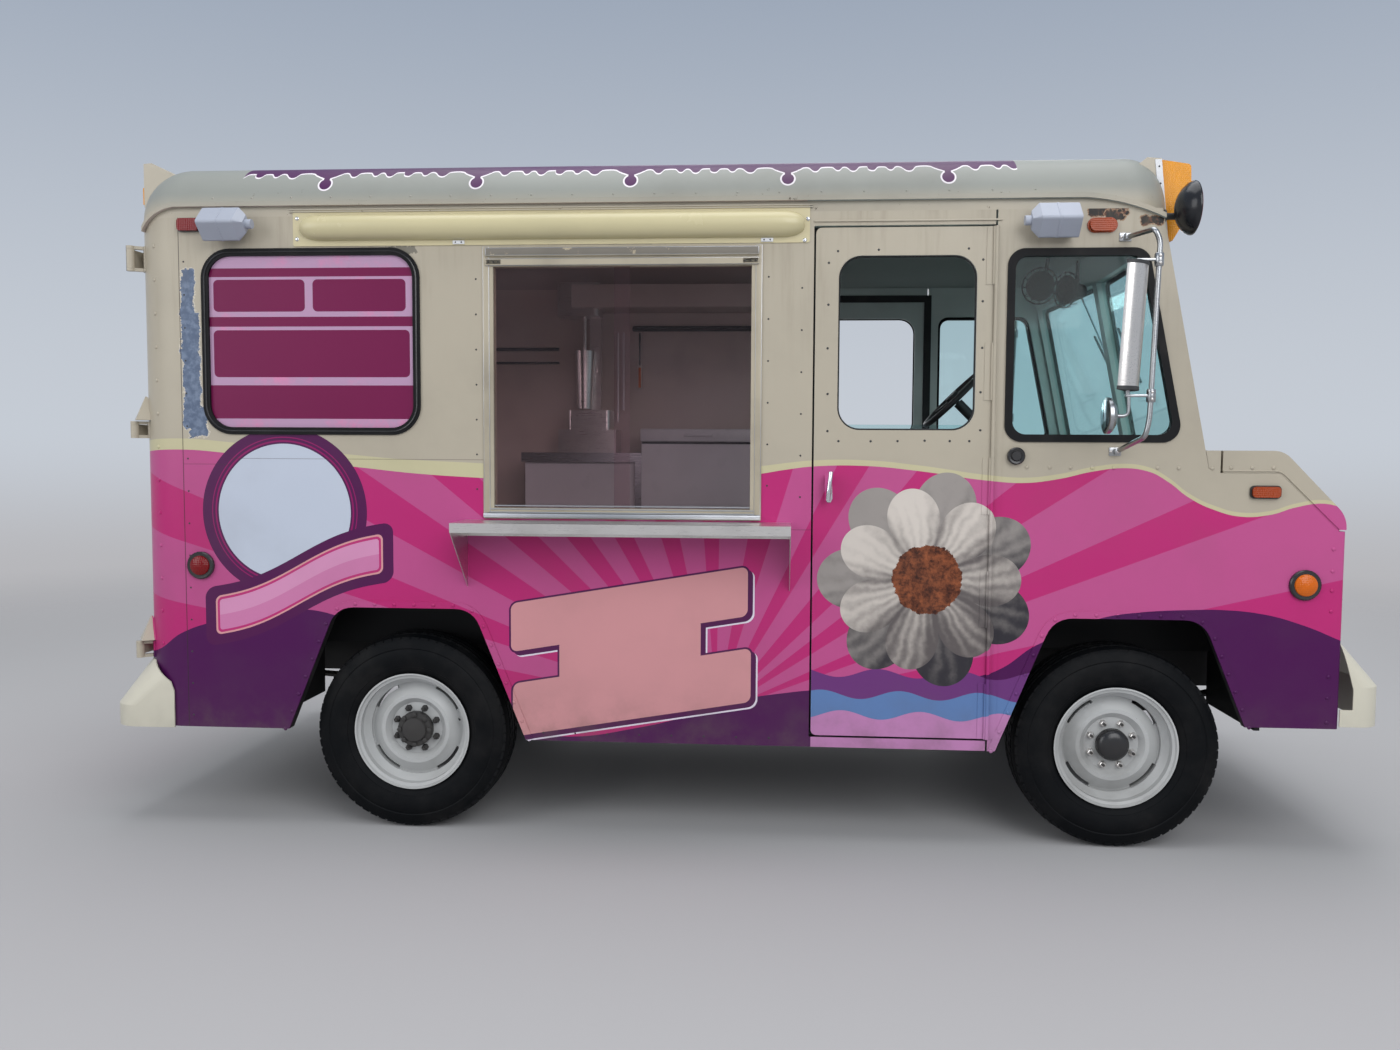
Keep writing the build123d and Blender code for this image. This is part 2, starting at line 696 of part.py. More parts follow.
# Floor with wheelhouses, step wells and firewall
def wheelhouse(x_axle, shift, y_in, side):
    reach = wheelhouse_wall
    half = arch_bottom_half + wheelhouse_gap
    x = x_axle + shift
    y0, y1 = sorted((side * y_in, side * inner_half))
    outer = block(x - half - reach, x + half + reach, y0, y1, splash_bottom, wheelhouse_top)
    outer = outer - block(x - half, x + half, y0 - 1, y1 + 1, splash_bottom - 1, z_floor - floor_thickness)
    yi0, yi1 = sorted((side * (y_in + reach), side * (inner_half + 1)))
    inner = block(x - half, x + half, yi0, yi1, splash_bottom - 1, wheelhouse_top - reach)
    return outer, inner


well_x0 = x_door_rear - skin_gap - 30
well_x1 = x_door_front - 10
well_y = half_width - 335.0
cover_half_width = 330.0
cover_rear = x_front_axle - 420.0
cover_top = 1180.0
cover_wall = 20.0


def floor():
    plate = block(x_rear + wall + skin_gap, x_firewall + wheelhouse_wall, -inner_half, inner_half,
                  z_floor - floor_thickness, z_floor)
    for side in (-1, 1):
        for x_axle, shift, y_in in ((x_rear_axle, rear_arch_shift, rear_wheelhouse_y),
                                    (x_front_axle, front_arch_shift, front_wheelhouse_y)):
            outer, inner = wheelhouse(x_axle, shift, y_in, side)
            plate = plate + outer - inner
    for side in (-1, 1):
        y0, y1 = sorted((side * well_y, side * inner_half))
        well = block(well_x0, well_x1, y0, y1, door_bottom - 12, z_floor)
        y0, y1 = sorted((side * (well_y + 15), side * (inner_half + 1)))
        space = block(well_x0 + 15, well_x1 - 15, y0, y1, door_bottom, z_floor + 1)
        plate = plate + well - space
    firewall = block(x_firewall, x_firewall + wheelhouse_wall, -inner_half, inner_half, z_floor - floor_thickness,
                     z_belt)
    for side in (-1, 1):
        outer, inner = wheelhouse(x_front_axle, front_arch_shift, front_wheelhouse_y, side)
        firewall = firewall - inner
    opening = block(cover_rear + cover_wall, x_firewall + wheelhouse_wall + 1, -cover_half_width + cover_wall,
                    cover_half_width - cover_wall, z_floor - floor_thickness - 1, cover_top - cover_wall)
    plan = rear_form(wall) + Pos((x_rear_seam + x_nose) / 2, 0) * Rectangle(x_nose - x_rear_seam, inner_half * 2)
    inside = extrude(Pos(0, 0, 0) * plan, z_roof_base)
    return (plate + firewall - opening) & inside


keep("floor", floor())


def engine_cover():
    outer = block(cover_rear, x_firewall, -cover_half_width, cover_half_width, z_floor, cover_top)
    outer = fillet(outer.edges().filter_by(Axis.X).group_by(Axis.Z)[-1], 60)
    inner = block(cover_rear + cover_wall, x_firewall + 1, -cover_half_width + cover_wall,
                  cover_half_width - cover_wall, z_floor - 1, cover_top - cover_wall)
    return outer - inner


keep("engine_cover", engine_cover())
engine_rear = x_front_axle - 300.0
engine_front = x_front_axle + 430.0
x_gearbox = x_front_axle - 900.0
z_gearbox = 560.0
gearbox_half = 90.0
keep("engine_block", block(engine_rear, engine_front, -250, 250, 500, 1090)
     + block(x_gearbox, engine_rear, -130, 130, z_gearbox - gearbox_half, z_gearbox + gearbox_half))


# Nose: the front panels below the belt, with the hood above
vee_step = screen_vee * nose_wall / half_width


def nose_side_outline():
    """The side panel's outline, whose upper edge runs below the hood lid's skirt."""
    skirt_z = z_cowl - hood_side_depth - lid_gap
    return outline([(x_quarter_rear, z_sill), (x_front_axle + 200, z_sill), (x_front_axle + 200, z_front_skirt),
                    (x_nose, z_front_skirt), (x_nose, hood_front_low - lid_gap),
                    (x_nose - hood_t, hood_front_low - lid_gap), (hood_side_x - 3, skirt_z),
                    (hood_rear - hood_gap, skirt_z), (hood_rear - hood_gap, z_cowl),
                    (pillar_line(z_cowl) + vee_step, z_cowl), (pillar_line(z_belt) + vee_step, z_belt),
                    (x_quarter_rear, z_belt)])


def nose():
    side = side_plate(nose_side_outline() - front_arch, -half_width, -half_width + nose_wall)
    front = block(x_nose - nose_wall, x_nose, -half_width, half_width, z_front_skirt, hood_front_low - lid_gap)
    return side, front


side, front = nose()
shell = side + other_side(side) + front
corners = [e for e in shell.edges().filter_by(Axis.Z)
           if e.center().X > x_nose - 0.5 and abs(e.center().Y) > half_width - 0.5]
shell = fillet(corners, nose_corner_r)
grille_half = 470.0
grille_bottom = 700.0
grille_top = 1130.0
lamp_y = half_width - 255.0
lamp_z = 960.0
lamp_r = 89.0
shell = shell - cross_plate(rounded(-grille_half, grille_half, grille_bottom, grille_top, 30), x_nose - 60,
                            x_nose + 10)
for y in (-lamp_y, lamp_y):
    shell = shell - rod_x(y, lamp_z, lamp_r, x_nose - 60, x_nose + 10)
for arm_side in (-1, 1):
    y0, y1 = bumper_arm(arm_side)
    shell = shell - block(x_nose - nose_wall - 1, x_nose + 1, y0 - 2, y1 + 2, front_arm_z0 - 2, front_arm_z1 + 2)
keep("nose", shell)


def grille():
    frame = cross_plate(rounded(-grille_half, grille_half, grille_bottom, grille_top, 30)
                        - rounded(-grille_half + 25, grille_half - 25, grille_bottom + 25, grille_top - 25, 15),
                        x_nose - 22, x_nose + 6)
    count = 7
    pitch = (grille_top - grille_bottom - 50) / (count + 1)
    for i in range(count):
        z = grille_bottom + 25 + pitch * (i + 1)
        frame = frame + block(x_nose - 16, x_nose + 2, -grille_half + 20, grille_half - 20, z - 9, z + 9)
    return frame


keep("grille", grille())


def hood_lid():
    """The lid's shell: a flat top, a rounded slope down to the grille panel, and skirts at the sides."""
    rear = hood_rear
    lid = outline([(rear, z_cowl), (hood_crest_x, z_cowl), (x_nose, nose_shoulder_z), (x_nose, hood_front_low),
                   (x_nose - hood_t + 3, hood_front_low), (hood_side_x, z_cowl - hood_side_depth),
                   (rear, z_cowl - hood_side_depth)])
    inner = outline([(rear - 1, z_belt - 400), (rear - 1, z_cowl - hood_t), (hood_crest_x - 10, z_cowl - hood_t),
                     (x_nose - hood_t, nose_shoulder_z - 10), (x_nose - hood_t, z_belt - 400)])
    for x, z, radius in ((hood_crest_x, z_cowl, hood_crest_r), (x_nose, nose_shoulder_z, hood_shoulder_r)):
        lid = fillet(lid.vertices().sort_by_distance((x, z, 0))[0], radius)
        inner = fillet(inner.vertices().sort_by_distance((x - hood_t / 2, z - hood_t / 2, 0))[0], radius - hood_t)
    lid = side_plate(lid, -half_width, half_width)
    lid = lid - side_plate(inner, -half_width + hood_t, half_width - hood_t)
    for y in hood_hinge_ys:
        leaf = block(hood_rear, hood_rear + 60, y - 25, y + 25, z_cowl, z_cowl + hinge_leaf_t)
        leaf = leaf + rod_y(hood_axis_x, hood_axis_z, hinge_barrel_r, y - 25, y + 25)
        leaf = leaf + block(hood_axis_x, hood_rear + 8, y - 25, y + 25, z_cowl + 1, z_cowl + 8)
        lid = lid + leaf - rod_y(hood_axis_x, hood_axis_z, hinge_pin_r + bearing_gap, y - 50, y + 50)
    return lid


keep("hood_lid", hood_lid())


# Frame, axles and springs
def chassis_frame():
    made = Part()
    for side in (-1, 1):
        y_out = side * rail_y
        y_web = side * (rail_y - rail_wall)
        y_in = side * (rail_y - rail_flange)
        made = made + block(x_rail_rear, x_rail_front, y_web, y_out, z_rail_bottom, z_rail_top)
        for z0 in (z_rail_bottom, z_rail_top - rail_wall):
            made = made + block(x_rail_rear, x_rail_front, y_in, y_out, z0, z0 + rail_wall)
    for x in (x_rail_rear, x_rear_axle - 500, x_rear_axle + 560, x_front_axle - 1300, x_rail_front - 60):
        made = made + block(x, x + cross_width, -rail_y + 1, rail_y - 1, z_cross_bottom, z_rail_top - 20)
    cradle = block(x_cradle, x_cradle + cradle_length, -rail_y + 1, rail_y - 1, cradle_z, cradle_z + 50)
    for side in (-1, 1):
        y0, y1 = sorted((side * (rail_y - rail_flange), side * (rail_y - 1)))
        cradle = cradle + block(x_cradle, x_cradle + cradle_length, y0, y1, cradle_z, z_rail_bottom + 1)
        y0, y1 = sorted((side * (rail_y - rail_flange), side * rail_y))
        made = made + block(x_jack_pad - jack_pad_half, x_jack_pad + jack_pad_half, y0, y1,
                            z_rail_bottom - jack_pad_t, z_rail_bottom)
    return made + cradle


keep("chassis_frame", chassis_frame())


def leaf_spring(x_axle, half_span, z_seat, side):
    """A bundle of four bowed leaves with an eye at each end."""
    eye_r = 17.0
    z_eye = z_rail_bottom - eye_r
    rise = z_eye - leaf_thickness / 2 - z_seat - leaf_thickness * 3
    made = Part()
    for i, share in enumerate((1.0, 0.78, 0.55, 0.34)):
        span = half_span * share
        z_mid = z_seat + leaf_thickness * (3 - i)
        z_end = z_mid + rise * share * share
        lower = ThreePointArc((x_axle - span, z_end), (x_axle, z_mid), (x_axle + span, z_end))
        upper = ThreePointArc((x_axle + span, z_end + leaf_thickness), (x_axle, z_mid + leaf_thickness),
                              (x_axle - span, z_end + leaf_thickness))
        edges = Curve() + [lower, Line(lower @ 1, upper @ 0), upper, Line(upper @ 1, lower @ 0)]
        made = made + side_plate(make_face(edges), side * spring_y - spring_width / 2,
                                 side * spring_y + spring_width / 2)
    for x in (x_axle - half_span, x_axle + half_span):
        made = made + rod_y(x, z_eye, eye_r, side * spring_y - spring_width / 2, side * spring_y + spring_width / 2)
        made = made + block(x - 12, x + 12, side * spring_y - 28, side * spring_y + 28, z_eye, z_rail_bottom)
    return made


def front_suspension():
    beam_z0, beam_z1 = wheel_centre_z - 70, wheel_centre_z + 10
    beam = block(x_front_axle - 30, x_front_axle + 30, -kingpin_y + 100, kingpin_y - 100, beam_z0, beam_z1)
    beam = beam + block(x_front_axle - 26, x_front_axle + 26, -kingpin_y + 20, kingpin_y - 20,
                        wheel_centre_z - 30, wheel_centre_z + 10)
    for side in (-1, 1):
        beam = beam + rod_z(x_front_axle, side * kingpin_y, yoke_half - 3, wheel_centre_z - beam_eye_height / 2,
                            wheel_centre_z + beam_eye_height / 2)
        beam = beam - rod_z(x_front_axle, side * kingpin_y, kingpin_r + bearing_gap, 0, 900)
        beam = beam + leaf_spring(x_front_axle, front_spring_half, beam_z1, side)
    return beam


x_pinion = x_rear_axle + 200.0
z_pinion = wheel_centre_z + 10.0


def rear_suspension():
    axle = rod_y(x_rear_axle, wheel_centre_z, 48, -wheel_mid_y + 90, wheel_mid_y - 90)
    axle = axle + Pos(x_rear_axle, 0, wheel_centre_z) * Sphere(150)
    axle = axle + rod_x(0, z_pinion, 55, x_rear_axle + 60, x_pinion)
    axle = axle + rod_y(x_rear_axle, wheel_centre_z, spindle_r, -wheel_mid_y - 40, wheel_mid_y + 40)
    for side in (-1, 1):
        y0, y1 = sorted((side * (wheel_mid_y - 88), side * (wheel_mid_y - 81)))
        axle = axle + rod_y(x_rear_axle, wheel_centre_z, drum_r - 4, y0, y1)
        z_seat = wheel_centre_z + 60
        axle = axle + block(x_rear_axle - 60, x_rear_axle + 60, side * spring_y - 40, side * spring_y + 40,
                            wheel_centre_z, z_seat)
        axle = axle + leaf_spring(x_rear_axle, rear_spring_half, z_seat, side)
    return axle


keep("front_suspension", front_suspension())
keep("rear_suspension", rear_suspension())

shaft_flange = 22.0
shaft_front = x_gearbox - shaft_flange
shaft_rear = x_pinion + shaft_flange
shaft_drop = z_gearbox - z_pinion
shaft_length = sqrt((shaft_front - shaft_rear) ** 2 + shaft_drop ** 2)
shaft_pitch = degrees(atan(shaft_drop / (shaft_front - shaft_rear)))
shaft = Pos((shaft_front + shaft_rear) / 2, 0, z_pinion + shaft_drop / 2) \
    * Rot(0, 90 - shaft_pitch, 0) * Cylinder(38, shaft_length)
shaft = shaft & block(shaft_rear, shaft_front, -100, 100, 200, 800)
shaft = shaft + rod_x(0, z_pinion, 52, x_pinion, shaft_rear + 1) + rod_x(0, z_gearbox, 52, shaft_front - 1, x_gearbox)
keep("drive_shaft", shaft)


# Wheels
def wheel_solid():
    """Rim, disc, hub and drum, about the Y axis, with the outer face towards -Y."""
    t = rim_thickness
    half = rim_width / 2
    line = [(half, rim_lip_r), (half - 8, rim_lip_r - 4), (half - 12, rim_seat_r), (60, rim_seat_r - 1),
            (34, 186), (-16, 186), (-60, rim_seat_r - 1), (-half + 12, rim_seat_r), (-half + 8, rim_lip_r - 4),
            (-half, rim_lip_r)]
    ring = [(y, r) for y, r in line] + [(y, r - t) for y, r in reversed(line)]
    web = [(lug_plane - disc_thickness, spindle_r + 5), (lug_plane, spindle_r + 5), (lug_plane, bowl_r - 8),
           (lug_plane + 22, bowl_r + 12), (lug_plane + 22, bowl_r + 26), (lug_plane - 6, disc_r),
           (lug_plane - 10, 183), (lug_plane - 20, 183), (lug_plane - 16, disc_r - 4),
           (lug_plane + 13, bowl_r + 22), (lug_plane + 13, bowl_r + 14),
           (lug_plane - disc_thickness, bowl_r - 4)]
    hub = [(-hub_length / 2, spindle_r + bearing_gap), (lug_plane + 12, spindle_r + bearing_gap), (lug_plane + 12, 0),
           (lug_plane + 34, 0), (lug_plane + 30, 38), (lug_plane + 12, hub_r), (lug_plane - 12, hub_r),
           (lug_plane - 18, drum_r), (lug_plane - 18 - drum_depth, drum_r), (lug_plane - 18 - drum_depth,
           drum_r - drum_wall), (lug_plane - 30, drum_r - drum_wall), (lug_plane - 30, hub_r),
           (-hub_length / 2, hub_r)]
    made = Part()
    for profile in (ring, web, hub):
        face = Polygon(*[(r, y) for y, r in profile], align=None)
        made = made + revolve(face, Axis.Y)
    slot = Polygon((0, 0), (disc_r + 20, -70), (disc_r + 20, 70), align=None) & (Circle(181.5) - Circle(disc_r - 4))
    for i in range(hand_holes):
        turn = Rot(0, 45 + 360 / hand_holes * i, 0)
        cut = turn * extrude(Plane.XZ.offset(-70) * slot, 140)
        made = made - (cut & block(-400, 400, -40, 70, -400, 400))
    return made


def tyre_solid():
    half = tyre_width / 2
    bead = rim_seat_r + 0.3
    edge = tyre_r - tyre_crown
    points = [(bead, -84), (bead + 18, -88), (bead + 60, -half + 6), (bead + 88, -half), (edge - 45, -half + 8),
              (edge - 12, -half + 20), (edge, -half + 38), (tyre_r, 0), (edge, half - 38),
              (edge - 12, half - 20), (edge - 45, half - 8), (bead + 88, half), (bead + 60, half - 6),
              (bead + 18, 88), (bead, 84)]
    return revolve(Polygon(*points, align=None), Axis.Y)


wheel_part = wheel_solid()
tyre_part = tyre_solid()


def placed(shape, x, side):
    """The shape is made with its outer face to +Y."""
    turned = shape if side > 0 else Rot(0, 0, 180) * shape
    return Pos(x, side * wheel_mid_y, wheel_centre_z) * turned


for end, x in (("front", x_front_axle), ("rear", x_rear_axle)):
    for side, word in ((-1, "right"), (1, "left")):
        keep("wheel_" + end + "_" + word, placed(wheel_part, x, side))
        keep("tyre_" + end + "_" + word, placed(tyre_part, x, side))


def knuckle(side):
    z = wheel_centre_z
    eye_half = beam_eye_height / 2
    yoke = Part()
    for z0, z1 in ((z - eye_half - 30, z - eye_half - 0.5), (z + eye_half + 0.5, z + eye_half + 30)):
        plate = rod_z(x_front_axle, kingpin_y, yoke_half, z0, z1)
        yoke = yoke + plate + block(x_front_axle - yoke_half, x_front_axle + yoke_half, kingpin_y, kingpin_y + 38,
                                    z0, z1)
    yoke = yoke + block(x_front_axle - yoke_half, x_front_axle + yoke_half, kingpin_y + yoke_half - 2,
                        kingpin_y + 38, z - eye_half - 30, z + eye_half + 30)
    yoke = yoke + rod_z(x_front_axle, kingpin_y, kingpin_r, z - eye_half - 5, z + eye_half + 5)
    yoke = yoke + rod_y(x_front_axle, z, drum_r - 4, kingpin_y + 36, kingpin_y + 43)
    yoke = yoke + rod_y(x_front_axle, z, spindle_r, kingpin_y + 40, wheel_mid_y + 40)
    return yoke if side > 0 else other_side(yoke)


keep("knuckle_right", knuckle(-1))
keep("knuckle_left", knuckle(1))


# Bumpers
bumper_t = 6.0
bumper_half = half_width + 5.0
front_bumper_low = 480.0
front_bumper_band = 622.0
front_bumper_top = 772.0
front_bumper_r = 80.0
rear_bumper_low = 380.0
rear_bumper_band = 462.0
rear_bumper_top = 628.0
rear_bumper_r = 110.0
rear_bumper_return = 159.0


def bumper_plan(x_face, x_back, half, corner, z):
    """A bumper's plan at a height, rounded at its outer corners."""
    shape = Polygon((x_back, -half), (x_face, -half), (x_face, half), (x_back, half), align=None)
    by_x = shape.vertices().sort_by(Axis.X)
    return Pos(0, 0, z) * fillet(by_x[2:] if x_face > x_back else by_x[:2], corner)


def bumper(x_face, x_back, x_top, corner, top_corner, z_low, z_band, z_top):
    """A pressed channel: an upright band that wraps round the corners, and an apron up to the body."""
    sign = 1 if x_face > x_back else -1
    layers = []
    for inset in (0.0, bumper_t):
        foot = (x_face - sign * inset, x_back, bumper_half - inset, corner - inset)
        head = (x_top - sign * inset, x_back, half_width + 4 - inset, top_corner - inset)
        band = extrude(bumper_plan(*foot, z_low - inset), z_band - z_low + inset, dir=(0, 0, 1))
        layers.append(band + loft([bumper_plan(*foot, z_band), bumper_plan(*head, z_top)], ruled=True))
    return layers[0] - layers[1]


x_front_bumper = x_front_axle + front_overhang
x_rear_bumper = x_rear_axle - rear_overhang
tail_lamp_r = 34.0
tail_lamp_z = (rear_bumper_low + rear_bumper_band) / 2
tail_lamp_ys = (half_width - 365.0, half_width - 275.0)

front = bumper(x_front_bumper, x_nose - 200, x_nose + 18, front_bumper_r, 60.0, front_bumper_low,
               front_bumper_band, front_bumper_top)
front = front - block(x_nose - 300, x_nose + 1, -body_width, body_width, 0, 1000)
notch = outline([(x_nose, 541), (x_nose + 45, 541), (x_nose + 45, 614), (x_nose, front_bumper_top + 10)])
front = front - side_plate(notch, -body_width, body_width)
for side in (-1, 1):
    y0, y1 = bumper_arm(side)
    front = front + block(x_rail_front, x_front_bumper - 3, y0, y1, front_arm_z0, front_arm_z1)
keep("front_bumper", front)
rear = bumper(x_rear_bumper, x_rear + 320, x_rear - 4, rear_bumper_r, roof_rear_r + 4, rear_bumper_low,
              rear_bumper_band, rear_bumper_top)
rear = rear - block(x_rear + rear_bumper_return, x_rear + 400, -body_width, body_width, 0, 1000)
rear = rear - extrude(Pos(0, 0, 300) * rear_form(-0.5), 400)
upper_corner = outline([(x_rear + 54, rear_bumper_top), (x_rear + 54, rear_bumper_top + 50),
                        (x_rear + 250, rear_bumper_top + 50), (x_rear + 250, 470),
                        (x_rear + rear_bumper_return + 1, 517), (x_rear + 146, 556)])
rear = rear - side_plate(upper_corner, -body_width, body_width)
for side in (-1, 1):
    y0, y1 = bumper_arm(side)
    rear = rear + block(x_rear_bumper + 3, x_rail_rear, y0, y1, rear_arm_z0, rear_arm_z1)
    for y in tail_lamp_ys:
        rear = rear - rod_x(side * y, tail_lamp_z, tail_lamp_r + 0.3, x_rear_bumper - 1, x_rear_bumper + 20)
keep("rear_bumper", rear)


# Below the floor
tank = block(x_rear_axle + 545, x_rear_axle + 1325, rail_y + 12, half_width - 75, 420, z_rail_top)
keep("fuel_tank", fillet(tank.edges().filter_by(Axis.X), 45))
exhaust_y = -200.0
exhaust_z = z_cross_bottom - 30.0
exhaust = rod_x(exhaust_y, exhaust_z, 25, x_rear + 100, x_front_axle - 300)
exhaust = exhaust + rod_x(exhaust_y, exhaust_z - 20, 72, x_front_axle - 1950, x_front_axle - 1480)
for x in (x_rear_axle - 500, x_rear_axle + 560, x_front_axle - 1300):
    exhaust = exhaust + block(x + 20, x + 40, exhaust_y - 8, exhaust_y + 8, exhaust_z, z_cross_bottom)
keep("exhaust", exhaust)


# Cab fittings
column_y = half_width - 535.0
column_lean = 45.0
wheel_hub = (x_front_axle - 410.0, column_y, 1705.0)
column_axis = Vector(-sin(radians(column_lean)), 0, cos(radians(column_lean)))
column_r = 24.0
steering_shaft_r = 11.0


def on_column(distance, shape):
    """A shape made along Z, turned to the column's axis, a distance below the steering wheel's hub."""
    return Pos(wheel_hub[0] - column_axis.X * distance, column_y, wheel_hub[2] - column_axis.Z * distance) \
        * Rot(0, -column_lean, 0) * shape


column_start = 30.0
column_reach = (x_firewall - wheel_hub[0]) / sin(radians(column_lean)) + 40
column = on_column((column_start + column_reach) / 2, Cylinder(column_r, column_reach - column_start))
column = column - block(x_firewall, x_firewall + 900, 0, 900, 0, 2000)
column = column - on_column(60, Cylinder(steering_shaft_r + bearing_gap, 160))
keep("steering_column", column)
steering_rim_r = 180.0
steering = on_column(0, Torus(steering_rim_r, 13)) + on_column(0, Cylinder(34, 40))
steering = steering + on_column(70, Cylinder(steering_shaft_r, 130))
for turn in (0, 120, 240):
    spoke = Rot(0, 0, turn) * (Pos(steering_rim_r / 2, 0, 0) * Box(steering_rim_r - 6, 24, 9))
    steering = steering + on_column(0, spoke)
keep("steering_wheel", steering)

dash = side_plate(outline([(x_firewall, cover_top), (x_firewall, z_belt), (x_firewall - 150, z_belt + 8),
                           (x_firewall - 190, z_belt - 40), (x_firewall - 150, cover_top)]),
                  -inner_half, inner_half)
keep("dashboard", dash - on_column(column_reach / 2 + 100, Cylinder(column_r + 0.5, column_reach + 400)))

seat_x = x_front_axle - 800.0
seat_y = column_y
seat_top = 1130.0
cushion_t = 110.0
back_lean = 12.0
pedestal = block(seat_x - 150, seat_x + 150, seat_y - 150, seat_y + 150, z_floor, z_floor + 60)
pedestal = pedestal + rod_z(seat_x, seat_y, 60, z_floor, seat_top - cushion_t - 20)
pedestal = pedestal + block(seat_x - 190, seat_x + 190, seat_y - 190, seat_y + 190, seat_top - cushion_t - 20,
                            seat_top - cushion_t)
for y in (seat_y - 120, seat_y + 120):
    pedestal = pedestal + block(seat_x - 240, seat_x - 180, y - 15, y + 15, seat_top - cushion_t - 20,
                                seat_top - cushion_t)
    pedestal = pedestal + block(seat_x - 250, seat_x - 240, y - 15, y + 15, seat_top - cushion_t - 20,
                                seat_top + 60)
keep("seat_pedestal", pedestal)
cushion = fillet(block(seat_x - 210, seat_x + 220, seat_y - 220, seat_y + 220, seat_top - cushion_t + 0.3,
                       seat_top).edges(), 30)
back = block(seat_x - 239.7, seat_x - 239.7 + 90, seat_y - 210, seat_y + 210, seat_top + 10, seat_top + 460)
keep("seat_cushions", cushion, fillet(back.edges(), 30))


# Serving equipment against the left wall
counter_x0 = x_rear_axle + 124.0
counter_x1 = x_rear_axle + 709.0
counter_y = 450.0
counter_top = 1435.0
counter_t = 30.0
tank_wall_x = x_rear_axle + rear_arch_shift + arch_bottom_half + wheelhouse_gap + wheelhouse_wall
counter = block(counter_x0, counter_x1 - 5, counter_y + 20, inner_half, z_floor, counter_top - counter_t)
counter = counter - block(counter_x0 - 1, tank_wall_x, rear_wheelhouse_y, inner_half + 1, z_floor - 1,
                          wheelhouse_top)
keep("counter", counter + block(counter_x0 - 10, counter_x1, counter_y, inner_half, counter_top - counter_t,
                                counter_top))


def drink_mixer():
    """A spindle mixer on its stand: a base, a post, a long cup and the motor's head."""
    x = x_rear_axle + 364.0
    y = half_width - 165.0
    stand_top = counter_top + 120
    base_top = stand_top + 100
    head_low = counter_top + 704
    head_top = z_roof_top - 240
    made = block(x - 119, x + 181, y - 110, y + 90, counter_top, stand_top)
    made = made + fillet(block(x - 72, x + 146, y - 90, y + 80, stand_top, base_top).edges().filter_by(Axis.Z), 20)
    made = made + block(x + 20, x + 80, y + 40, y + 75, base_top, head_low)
    head = block(x - 132, x + 85, y - 80, y + 80, head_low, head_top)
    made = made + fillet(head.edges().filter_by(Axis.Z), 25)
    made = made + rod_z(x, y, 9, base_top + 300, head_low)
    made = made + Pos(x, y, base_top + 160) * Cone(38, 52, 300)
    made = made + block(x, x + 60, y + 20, y + 60, base_top + 200, base_top + 222)
    return made


keep("drink_mixer", drink_mixer())
freezer_top = 1551.0
freezer = block(x_rear_axle + 712, x_rear_axle + 1272, 420, inner_half, z_floor, freezer_top)
keep("freezer", fillet(freezer.edges().group_by(Axis.Z)[-1], 12))


# Mirrors
def tube_run(points, radius):
    made = Part()
    for a, b in zip(points, points[1:]):
        run = Vector(*b) - Vector(*a)
        middle = (Vector(*a) + Vector(*b)) * 0.5
        made = made + Plane(origin=middle, z_dir=run) * Cylinder(radius, run.length)
    for point in points[1:-1]:
        made = made + Pos(*point) * Sphere(radius)
    return made


mirror_reach = 200.0
mirror_half_width = 85.0
mirror_depth = 52.0
mirror_height = 425.0
mirror_lean = 3.0


def mirror_arm():
    """A bent tube on two brackets, with a tall half-round mirror and a small round one."""
    y_wall = -half_width
    y_tube = y_wall - mirror_reach
    top = (x_front_axle - 30, y_wall, z_roof_top - 350)
    low = (x_front_axle - 45, y_wall, 1450.0)
    x_top, x_low = x_front_axle + 22, x_front_axle + 4
    made = tube_run([top, (x_top - 18, y_tube, z_roof_top - 360), (x_top, y_tube, z_roof_top - 395),
                     (x_low, y_tube, 1560), (x_low - 12, y_tube, 1500), low], 9)
    made = made - block(x_front_axle - 100, x_front_axle + 100, y_wall, y_wall + 60, 1300, 2300)
    for x, y, z in (top, low):
        made = made + block(x - 26, x + 14, y_wall - 4, y_wall, z - 14, z + 14)
        made = made + block(x - 10, x + 10, y_wall - 22, y_wall, z - 10, z + 10)
    half = mirror_half_width
    trough = make_face(Curve() + [Line((0, -half), (0, half)), ThreePointArc((0, half), (mirror_depth, 0), (0, -half))])
    head = extrude(Pos(0, 0, -mirror_height / 2) * trough, mirror_height)
    head_x, head_z = x_front_axle - 78, 1868.0
    made = made + Pos(head_x, y_tube, head_z) * Rot(0, mirror_lean, 0) * head
    for z, x_tube in ((head_z - mirror_height / 2 - 18, x_low + 2), (head_z + mirror_height / 2 + 8, x_top - 4)):
        x_head = head_x + 20 + (z - head_z) * tan(radians(mirror_lean))
        made = made + block(x_head - 8, x_tube, y_tube - 6, y_tube + 6, z - 5, z + 5)
        made = made + rod_z(x_tube, y_tube, 15, z - 22, z + 22)
        z0, z1 = sorted((z - 5 if z > head_z else z + 5, head_z + (z - head_z) * 0.86))
        made = made + rod_z(x_head, y_tube, 7, z0, z1)
    round_x, round_z = x_front_axle - 128, 1570.0
    made = made + rod_x(y_tube, round_z, 60, round_x - 12, round_x)
    made = made + Pos(round_x, y_tube, round_z) * Rot(0, 90, 0) * Cone(58, 20, 24, align=(Align.CENTER, Align.CENTER, Align.MIN))
    made = made + tube_run([(round_x + 12, y_tube, round_z), (head_x + 12, y_tube, round_z),
                            (head_x + 12, y_tube, head_z - mirror_height / 2 - 18)], 6)
    return made


keep("mirrors", mirror_arm(), other_side(mirror_arm()))


